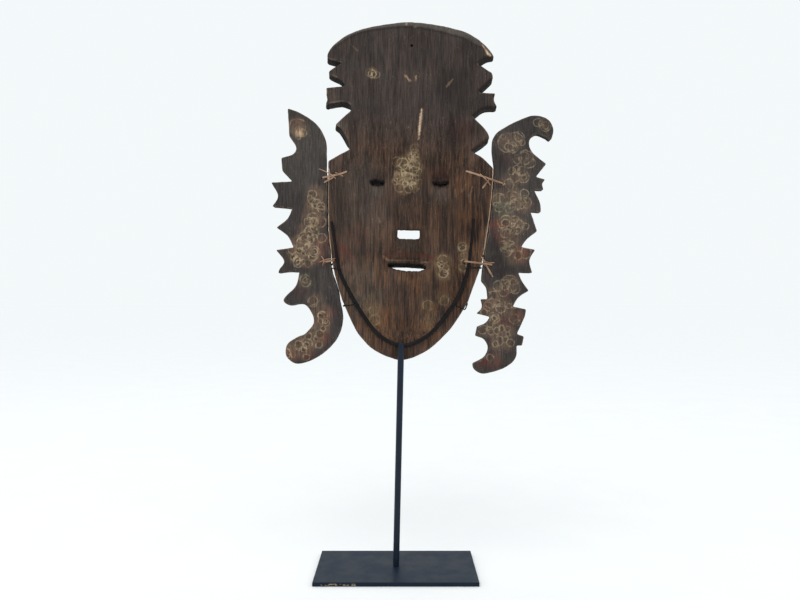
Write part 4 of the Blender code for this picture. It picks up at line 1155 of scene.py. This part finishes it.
def make_mask(material):
    rings = [mask_walls(), *mask_openings()]
    drawn, faces, zone = board(rings, back_depth, front_depth, EDGE_ROWS, (BACK_STEP, FRONT_STEP))
    made = finished("carved_mask", to_world(drawn), faces, material)
    flat = drawn[:, [0, 2]]
    x, y, z = drawn.T
    inward = edge_distance(flat, MASK_OUTLINE)
    relief = front_relief(flat)
    band = edge_form(flat)[0]
    back, wall, front = zone == 0, zone == 1, zone == 2

    ochre = spots(flat, MASK_OCHRE) * back
    red = most(spots(flat, MASK_RED), 0.75 * arch_share(flat)) * back
    rubbed = most(streaks(flat, MASK_PALE_STREAKS), 0.5 * spots(flat, MASK_PALE))
    pale = most(rubbed * (back | (wall & (z < 260))), 0.22 * ramp(relief, 3.5, 8) * front)
    give(made.data, "marks", np.column_stack([ochre, red, pale]))

    warm = 0.25 + 0.65 * spots(flat, MASK_WARMTH, 0.6)
    warm = warm * (1 - soft_ramp(z, 255, 300)) * np.where(front, 0.55, 1.0) + 0.12
    ash = most(0.75 * soft_ramp(z, 262, 330), 0.45 * spots(flat, MASK_ASH, 0.6)) * back
    dome = soft_ramp(z, 388, 402)
    # Painted shade in the crease between the dome's bevel and the face.
    crease_shade = 0.55 * dome * (1 - ramp(np.abs(inward - band - 0.8), 0.5, 2.0))
    faces_down = -outward(MASK_OUTLINE)[nearest(flat, MASK_OUTLINE)[0], 1]
    lobes = ramp(x, 50, 62) * ramp(z, 262, 270) * (1 - ramp(z, 396, 402))
    # Painted shade on the back along the undersides of the right lobes.
    under_lobes_shade = 0.95 * lobes * ramp(faces_down, 0.0, 0.5) * (1 - ramp(inward, 2.6, 5.2))
    # Painted shade round the eye slots, the darkest, and round the nose slot and the mouth.
    shade_round_openings = [
        strength * (1 - ramp(edge_distance(flat, hole[0][0]), near, far))
        for holes, strength, near, far in ((rings[1:3], 1.5, 0.4, 1.9), (rings[3:5], 0.7, 0.2, 1.6))
        for hole in holes
    ]
    # Dirt, and painted shade above the eyes and beside the nose's channel.
    dirt_and_shade_spots = most(spots(flat, MASK_DIRT_AND_SHADE, 0.6), streaks(flat, MASK_DIRT_AND_SHADE_STREAKS))
    on_back = most(dirt_and_shade_spots, crease_shade, under_lobes_shade, *shade_round_openings) * back
    # The walls of the openings are painted near black towards the front, painted shade deep in the holes; the
    # outer walls get some dirt and painted shade where they face down.
    on_walls = np.where(wall & (inward > 4), 1.6 * ramp(y, 12, 20), wall_dirt_and_shade(made, wall))
    # On the front: painted shade in the two cut lines round the border, in sunken places and along the foot
    # of the raised forms.
    cut = 1 - ramp(np.min([np.abs(inward - line) for line in BORDER_CUTS], axis=0), 0.6, 1.9)
    beside_relief_shade = 0.5 * (1 - ramp(np.abs(relief - 1.6), 0.6, 1.5))
    sunk_shade = most(0.75 * ramp(-relief, 0.3, 3.2), 0.7 * cut, beside_relief_shade)
    give(made.data, "tones", np.column_stack([warm, most(on_back, on_walls, sunk_shade * front), ash]))

    # Painted light on the bevel round the dome and on the patches under the openings, which face up; the
    # other spots are dust.
    dome_light = 0.5 * dome * (1 - soft_ramp(inward, band - 2.0, band + 0.2))
    dust_and_light = most(dome_light, 0.42 * spots(flat, SCOOP_LIGHT, 0.7), 0.5 * spots(flat, MASK_DUST, 0.6)) * back
    give(made.data, "wear_and_light", np.column_stack([inward * MM, np.zeros(len(x)), dust_and_light]))
    give_rings(made, drawn, faces, zone, more_rings(MASK_OCHRE[:8], MASK_RINGS, 5))
    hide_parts("mask")


def make_ear(name, side, ochre, rings_known, red_spots, green_spots, material):
    loop = ear_outline(side)
    back_y, front_y = EAR_BACK, EAR_BACK + EAR_BOARD

    def back(points, loops):
        inward = edge_distance(points, loop)
        x, z = points.T
        rough = 0.28 * value_noise(x / 8, z / 22, 21) + 0.14 * value_noise(x / 3, z / 11, 22)
        edges = quarter_round(inward, EAR_ROUNDINGS[0]) + hole_rounding(points, loops)
        return back_y + edges + rough * ramp(inward, 0, 2.5)

    def front(points, loops):
        inward = edge_distance(points, loop)
        x, z = points.T
        edges = quarter_round(inward, EAR_ROUNDINGS[1]) + hole_rounding(points, loops)
        groove = 0.9 * (1 - soft_ramp(np.abs(inward - EAR_GROOVE), 0.3, 1.4))
        return front_y - edges - groove - 0.4 * value_noise(x / 7, z / 12, 24) * ramp(inward, 0, 2.5)

    steps = [(loop, None)]
    for share in EAR_WALL_SHARES:
        rough = 0.2 * (edge_noise(len(loop), 4, 52 + side, share * 9) - 0.9)
        y = (back_y + EAR_ROUNDINGS[0]) * (1 - share) + (front_y - EAR_ROUNDINGS[1]) * share
        steps.append((loop + outward(loop) * rough[:, None], np.full(len(loop), y)))
    rings = [[*steps, (loop, None)]]
    for tie_side, _, in_ear, _ in TIES.values():
        if tie_side == side:
            hole = strand_hole(in_ear, -side)
            rings.append(opening(hole, hole, back_y + 1, front_y - 1))
    drawn, faces, zone = board(rings, back, front, EDGE_ROWS, (EAR_STEP, EAR_STEP * 1.2))
    made = finished(name, to_world(drawn), faces, material)
    flat = drawn[:, [0, 2]]
    inward = edge_distance(flat, loop)
    on_back, wall, on_front = zone == 0, zone == 1, zone == 2

    stain = (0.96 if side < 0 else 0.76) * spots(flat, ochre, 0.6) * on_back
    red = spots(flat, red_spots, 0.6) * on_back
    pale = spots(flat, EAR_PALE, 0.5) * on_back
    give(made.data, "marks", np.column_stack([stain, red, pale]))
    warm = 0.35 * stain + 0.1 + 0.3 * on_front
    # Painted shade in the groove round the ear's front.
    groove = 0.7 * (1 - ramp(np.abs(inward - EAR_GROOVE), 0.3, 1.7)) * on_front
    dirt_and_shade = most(wall_dirt_and_shade(made, wall), spots(flat, EAR_DIRT, 0.7) * on_back, groove)
    ash = np.where(on_front, 0.35, 0.9 * (1 - 0.6 * stain))
    give(made.data, "tones", np.column_stack([warm, dirt_and_shade, ash]))
    green = spots(flat, green_spots, 0.6) * on_back
    dust_and_light = (0.3 if side < 0 else 0.08) * spots(flat, EAR_DUST, 0.7) * on_back
    give(made.data, "wear_and_light", np.column_stack([inward * MM, green, dust_and_light]))
    give_rings(made, drawn, faces, zone, more_rings(ochre, rings_known, 15 + side))
    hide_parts("ear_left" if side < 0 else "ear_right")


def rounded_route(points, radius, turn=10):
    """The route with each corner rounded off, in small turns."""
    points = [Vector(p) for p in points]
    route = [points[0]]
    for before, corner, after in zip(points, points[1:], points[2:]):
        back = (before - corner).normalized()
        ahead = (after - corner).normalized()
        reach = min(radius, 0.45 * (before - corner).length, 0.45 * (after - corner).length)
        first, last = corner + back * reach, corner + ahead * reach
        turns = max(1, round((math.pi - back.angle(ahead)) / math.radians(turn)))
        for i in range(turns + 1):
            share = i / turns
            route.append(first * (1 - share) ** 2 + corner * 2 * share * (1 - share) + last * share**2)
    return [*route, points[-1]]


def split_longer(route, most):
    """The route with its long stretches divided."""
    fine = [route[0]]
    for start, end in zip(route, route[1:]):
        pieces = max(1, math.ceil((end - start).length / most))
        fine += [start.lerp(end, (i + 1) / pieces) for i in range(pieces)]
    return fine


def taut_over_front(start, end, play):
    """Points of a strip drawn tight over the front from one place to another, without the first."""
    shares = np.linspace(0, 1, 25)
    flat = np.outer(1 - shares, start) + np.outer(shares, end)
    over_mask = inside(flat, MASK_OUTLINE) | (edge_distance(flat, MASK_OUTLINE) < 1)
    depth = np.where(over_mask, front_depth(flat, [MASK_OUTLINE]), EAR_BACK + EAR_BOARD) + play
    kept = [0]
    while kept[-1] < len(shares) - 1:
        here = kept[-1]
        slopes = (depth[here + 1 :] - depth[here]) / (shares[here + 1 :] - shares[here])
        steepest = np.flatnonzero(slopes > slopes.max() - 1e-6)
        kept.append(here + 1 + int(steepest[-1]))
    return [(*flat[i], depth[i]) for i in kept[1:]]


def tie_route(side, in_mask, in_ear, way):
    """The points of a tie's route, or of a frayed end's where side is 0."""
    play = 1.3 * TOUCH_GAP + TIE_THICKNESS / 2
    shift = 0.3 * TIE_HOLE
    holes = {
        "mask": (in_mask[0] + side * shift, in_mask[1]),
        "ear": (in_ear[0] - side * shift, in_ear[1]),
    }
    on = MASK_BACK - play
    levels = {
        ON: on,
        OVER: on - TIE_THICKNESS - 2 * TOUCH_GAP,
        BAR: CRADLE_Y - CRADLE_RADIUS - play - TOUCH_GAP,
        DEEP: on + 1.0,
        TOP: on - 2 * (TIE_THICKNESS + 2 * TOUCH_GAP),
    }
    if side == 0:
        return [(x, levels[level], z) for x, z, level in way]
    drawn = []
    before = None
    for stop in way:
        at = holes[stop[0]] if stop[0] in holes else stop[:2]
        if stop[-1] != FRONT:
            drawn.append((*at, levels[stop[-1]]))
        elif before == FRONT:
            drawn += taut_over_front(drawn[-1][:2], at, play + TOUCH_GAP)
        else:
            drawn += taut_over_front(at, at, play + TOUCH_GAP)[-1:]
        before = stop[-1]
    return [(x, y, z) for x, z, y in drawn]


def heading(route, i):
    """The direction of a route at one of its points."""
    return (route[min(i + 1, len(route) - 1)] - route[max(i - 1, 0)]).normalized()


def swept_faces(first, rings, size, turned):
    """The faces over a row of rings of points, with both ends; turned where the rings run the other way."""
    faces = []
    for i in range(rings - 1):
        for k in range(size):
            a, b = first + size * i + k, first + size * i + (k + 1) % size
            faces.append((a, a + size, b + size, b) if turned else (a, b, b + size, a + size))
    start = range(first, first + size)
    end = range(first + size * (rings - 1), first + size * rings)
    if turned:
        return [*faces, tuple(start), tuple(reversed(end))]
    return [*faces, tuple(reversed(start)), tuple(end)]


def strand(route, width, thickness, seed, points, faces, lie):
    """A split strand swept along a route: rounded outside, flat inside, ragged and thinner at its ends."""
    random = np.random.default_rng(seed)
    route = split_longer([Vector(p) for p in rounded_route(route, 1.6)], 1.2)
    wide = Vector((0, 0, 1))
    first = len(points)
    run = 0.0
    total = sum((b - a).length for a, b in zip(route, route[1:]))
    for i, at in enumerate(route):
        if i:
            run += (at - route[i - 1]).length
        along = heading(route, i)
        level = Vector((0, 1, 0)).cross(along)
        if level.length > 0.05:
            level.normalize()
            wide = level if level.dot(wide) > 0 else -level
        thin = along.cross(wide)
        end = min(run, total - run)
        slim = 0.45 + 0.55 * min(1.0, end / 2.2)
        breadth = width * slim * (0.94 + 0.06 * math.sin(run * 0.7 + seed))
        for a, b in STRAND_PROFILE:
            nudge = 1 + 0.05 * random.uniform(-1, 1)
            sideways = wide * (a * breadth / 2 * nudge)
            points.append(at + sideways + thin * (b * thickness * (0.7 + 0.3 * slim) / 2))
            lie.append((run * MM, a * width * MM / 2, 1 - min(1.0, end / 1.5)))
    faces += swept_faces(first, len(route), len(STRAND_PROFILE), False)


def make_tie(name, sizes, material):
    points, faces, lie = [], [], []
    strand(tie_route(*sizes), TIE_WIDTH, TIE_THICKNESS, len(name), points, faces, lie)
    for number, way in enumerate(FRAYS[name]):
        strand(tie_route(0, (0, 0), (0, 0), way), 1.3, 0.8, number + 3, points, faces, lie)
    made = finished(f"rattan_{name}", to_world([tuple(p) for p in points]), faces, material)
    give(made.data, "lie", lie)
    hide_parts(name)


def tube(name, route, radius, sides, material, node, cap=0.3, slim=0.0):
    """A round bar along a route, with rounded ends; slim is the share by which it thins at its tips."""
    route = [Vector(p) for p in route]
    run = np.concatenate([[0], np.cumsum([(b - a).length for a, b in zip(route, route[1:])])])
    wide = radius * (1 - slim * (1 - soft_ramp(np.minimum(run, run[-1] - run), 0, 110)))
    up = Vector((0, 1, 0))
    rings = []
    for i, at in enumerate(route):
        along = heading(route, i)
        across = along.cross(up)
        if across.length < 0.05:
            across = along.cross(Vector((1, 0, 0)))
        across.normalize()
        up = across.cross(along).normalized()
        rings.append((at, along, across, up))
    ends = []
    tip = wide[0]
    for (at, along, across, other), sign in ((rings[0], -1), (rings[-1], 1)):
        ends.append([(at - along * sign * cap * (1 - share), across, other, thick)
                     for share, thick in ((1.0, tip - cap), (0.7, tip - cap * 0.3), (0.0, tip))])
    body = [(at, across, other, thick) for (at, _, across, other), thick in zip(rings[1:-1], wide[1:-1])]
    levels = ends[0] + body + ends[1][::-1]
    points = []
    for at, across, other, thick in levels:
        for k in range(sides):
            turn = 2 * math.pi * k / sides
            points.append(at + (across * math.cos(turn) + other * math.sin(turn)) * thick)
    faces = swept_faces(0, len(levels), sides, True)
    made = finished(name, to_world([tuple(p) for p in points]), faces, material)
    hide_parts(node)


def make_cradle(material):
    drawn = [*smooth_run(CRADLE_ROUTE, 2.5), CRADLE_ROUTE[-1]]
    route = [(x, CRADLE_Y, z) for x, z in drawn]
    tube("bent_cradle", route, CRADLE_RADIUS, 20, material, "cradle", 0.5, 0.34)


def make_hook(name, side, on_bar, at_edge, over_front, stand_off, material):
    clear = HOOK_RADIUS + 2 * TOUCH_GAP
    bar = x_at(side, on_bar, CRADLE_ROUTE)
    edge, far_edge = x_at(side, at_edge, LOWER_EDGE), x_at(side, over_front, LOWER_EDGE)
    near = CRADLE_Y - CRADLE_RADIUS - TOUCH_GAP - HOOK_RADIUS
    tip = far_edge - side * HOOK_REACH
    front = float(front_depth(np.array([(tip, over_front)]), [MASK_OUTLINE])[0]) + clear
    out = side * (clear + stand_off)
    drawn = [
        (bar - side * 3, near, on_bar),
        (bar + side * 2.5, near, on_bar),
        (edge, MASK_BACK - 1.4 * HOOK_RADIUS - TOUCH_GAP, at_edge),
    ]
    for share in (0.1, 0.36, 0.64, 0.9):
        height = at_edge + (over_front - at_edge) * share
        reach = out * (0.85 + 0.15 * math.sin(math.pi * share))
        drawn.append((x_at(side, height, LOWER_EDGE) + reach, MASK_BACK + share * BOARD, height))
    drawn += [(far_edge + 0.4 * out, front, over_front), (tip, front + HOOK_RADIUS, over_front)]
    tube(f"wire_{name}", [*smooth_run(drawn, 0.9), drawn[-1]], HOOK_RADIUS, 12, material, name, 0.25)


def make_camera():
    data = bpy.data.cameras.new("camera")
    data.lens = 29.25
    data.sensor_width = 36.0
    data.shift_y = 0.0025
    camera = placed("camera", data)
    camera.location = (0.005, -0.826, 0.340)
    camera.rotation_euler = (math.radians(90), 0, 0)
    bpy.context.scene.camera = camera


def make_floor():
    far = 60.0
    mesh = bpy.data.meshes.new("floor")
    mesh.from_pydata([(-far, -far, 0), (far, -far, 0), (far, far, 0), (-far, far, 0)], [], [(0, 1, 2, 3)])
    floor = placed("floor", mesh)
    g = Graph("floor")
    tone = g.step(g.noise((9, 9, 9), 4, 0.6, 1), 0.3, 0.7)
    g.put(g.shader.inputs["Base Color"], g.mix(tone, (0.795, 0.797, 0.80), (0.81, 0.81, 0.81)))
    g.shader.inputs["Roughness"].default_value = 1.0
    g.shader.inputs["Specular IOR Level"].default_value = 0.0
    mesh.materials.append(g.material)


def make_light(name, kind, place, towards, power, colour):
    """A light at a place, turned to another; what is returned is its data."""
    data = bpy.data.lights.new(name, kind)
    data.energy = power
    data.color = colour
    light = placed(name, data)
    light.location = place
    light.rotation_euler = (Vector(towards) - Vector(place)).to_track_quat("-Z", "Y").to_euler()
    return data


def make_sky():
    world = bpy.data.worlds.new("pale_room")
    world.use_nodes = True
    background = world.node_tree.nodes["Background"]
    background.inputs["Color"].default_value = (0.945, 0.985, 1.0, 1.0)
    background.inputs["Strength"].default_value = 0.955
    bpy.context.scene.world = world
    area = make_light("sky", "AREA", (-0.4, -0.7, 2.4), (0, 0, 0.35), 11, (1.0, 0.985, 0.96))
    area.shape = "RECTANGLE"
    area.size, area.size_y = 2.2, 1.6
    sun = make_light("even_sky", "SUN", (0, 0, 0), (0.15, 0.1, -1.0), 0.74, (0.945, 0.985, 1.0))
    sun.angle = math.radians(70)


bpy.context.scene.view_settings.view_transform = "Standard"
make_camera()
make_floor()
make_sky()

black = steel("black_steel", (0.005, 0.011, 0.022), (0.009, 0.016, 0.030), 0.2)
# The cradle and hooks take a darker, duller copy of the black steel: painted shade, for where they lie in the
# mask's shadow.
shaded_black = steel("shaded_black_steel", (0.004, 0.003, 0.004), (0.008, 0.006, 0.007), 0.14)
plate_black = steel("plate_steel", (0.005, 0.011, 0.022), (0.009, 0.016, 0.030), 0.13)
for node, paint in (("base_plate", plate_black), ("rod", black)):
    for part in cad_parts[node].material_slots:
        part.material = paint
tan = rattan()
mask_wood = wood("mask_wood", (0.026, 0.017, 0.014), (0.080, 0.051, 0.039), (0.140, 0.066, 0.032),
                 (0.046, 0.039, 0.037), (0.165, 0.108, 0.058), 0.24)
ear_wood = wood("ear_wood", (0.028, 0.021, 0.019), (0.060, 0.043, 0.036), (0.135, 0.080, 0.046),
                (0.044, 0.039, 0.038), (0.182, 0.118, 0.080), 0.40)
make_mask(mask_wood)
make_ear("toothed_ear_left", -1, LEFT_EAR_OCHRE, LEFT_EAR_RINGS, LEFT_EAR_RED, LEFT_EAR_GREEN, ear_wood)
make_ear("toothed_ear_right", 1, RIGHT_EAR_OCHRE, RIGHT_EAR_RINGS, RIGHT_EAR_RED, RIGHT_EAR_GREEN, ear_wood)
for name, sizes in TIES.items():
    make_tie(name, sizes, tan)
make_cradle(shaded_black)
for name, sizes in HOOKS.items():
    make_hook(name, *sizes, shaded_black)
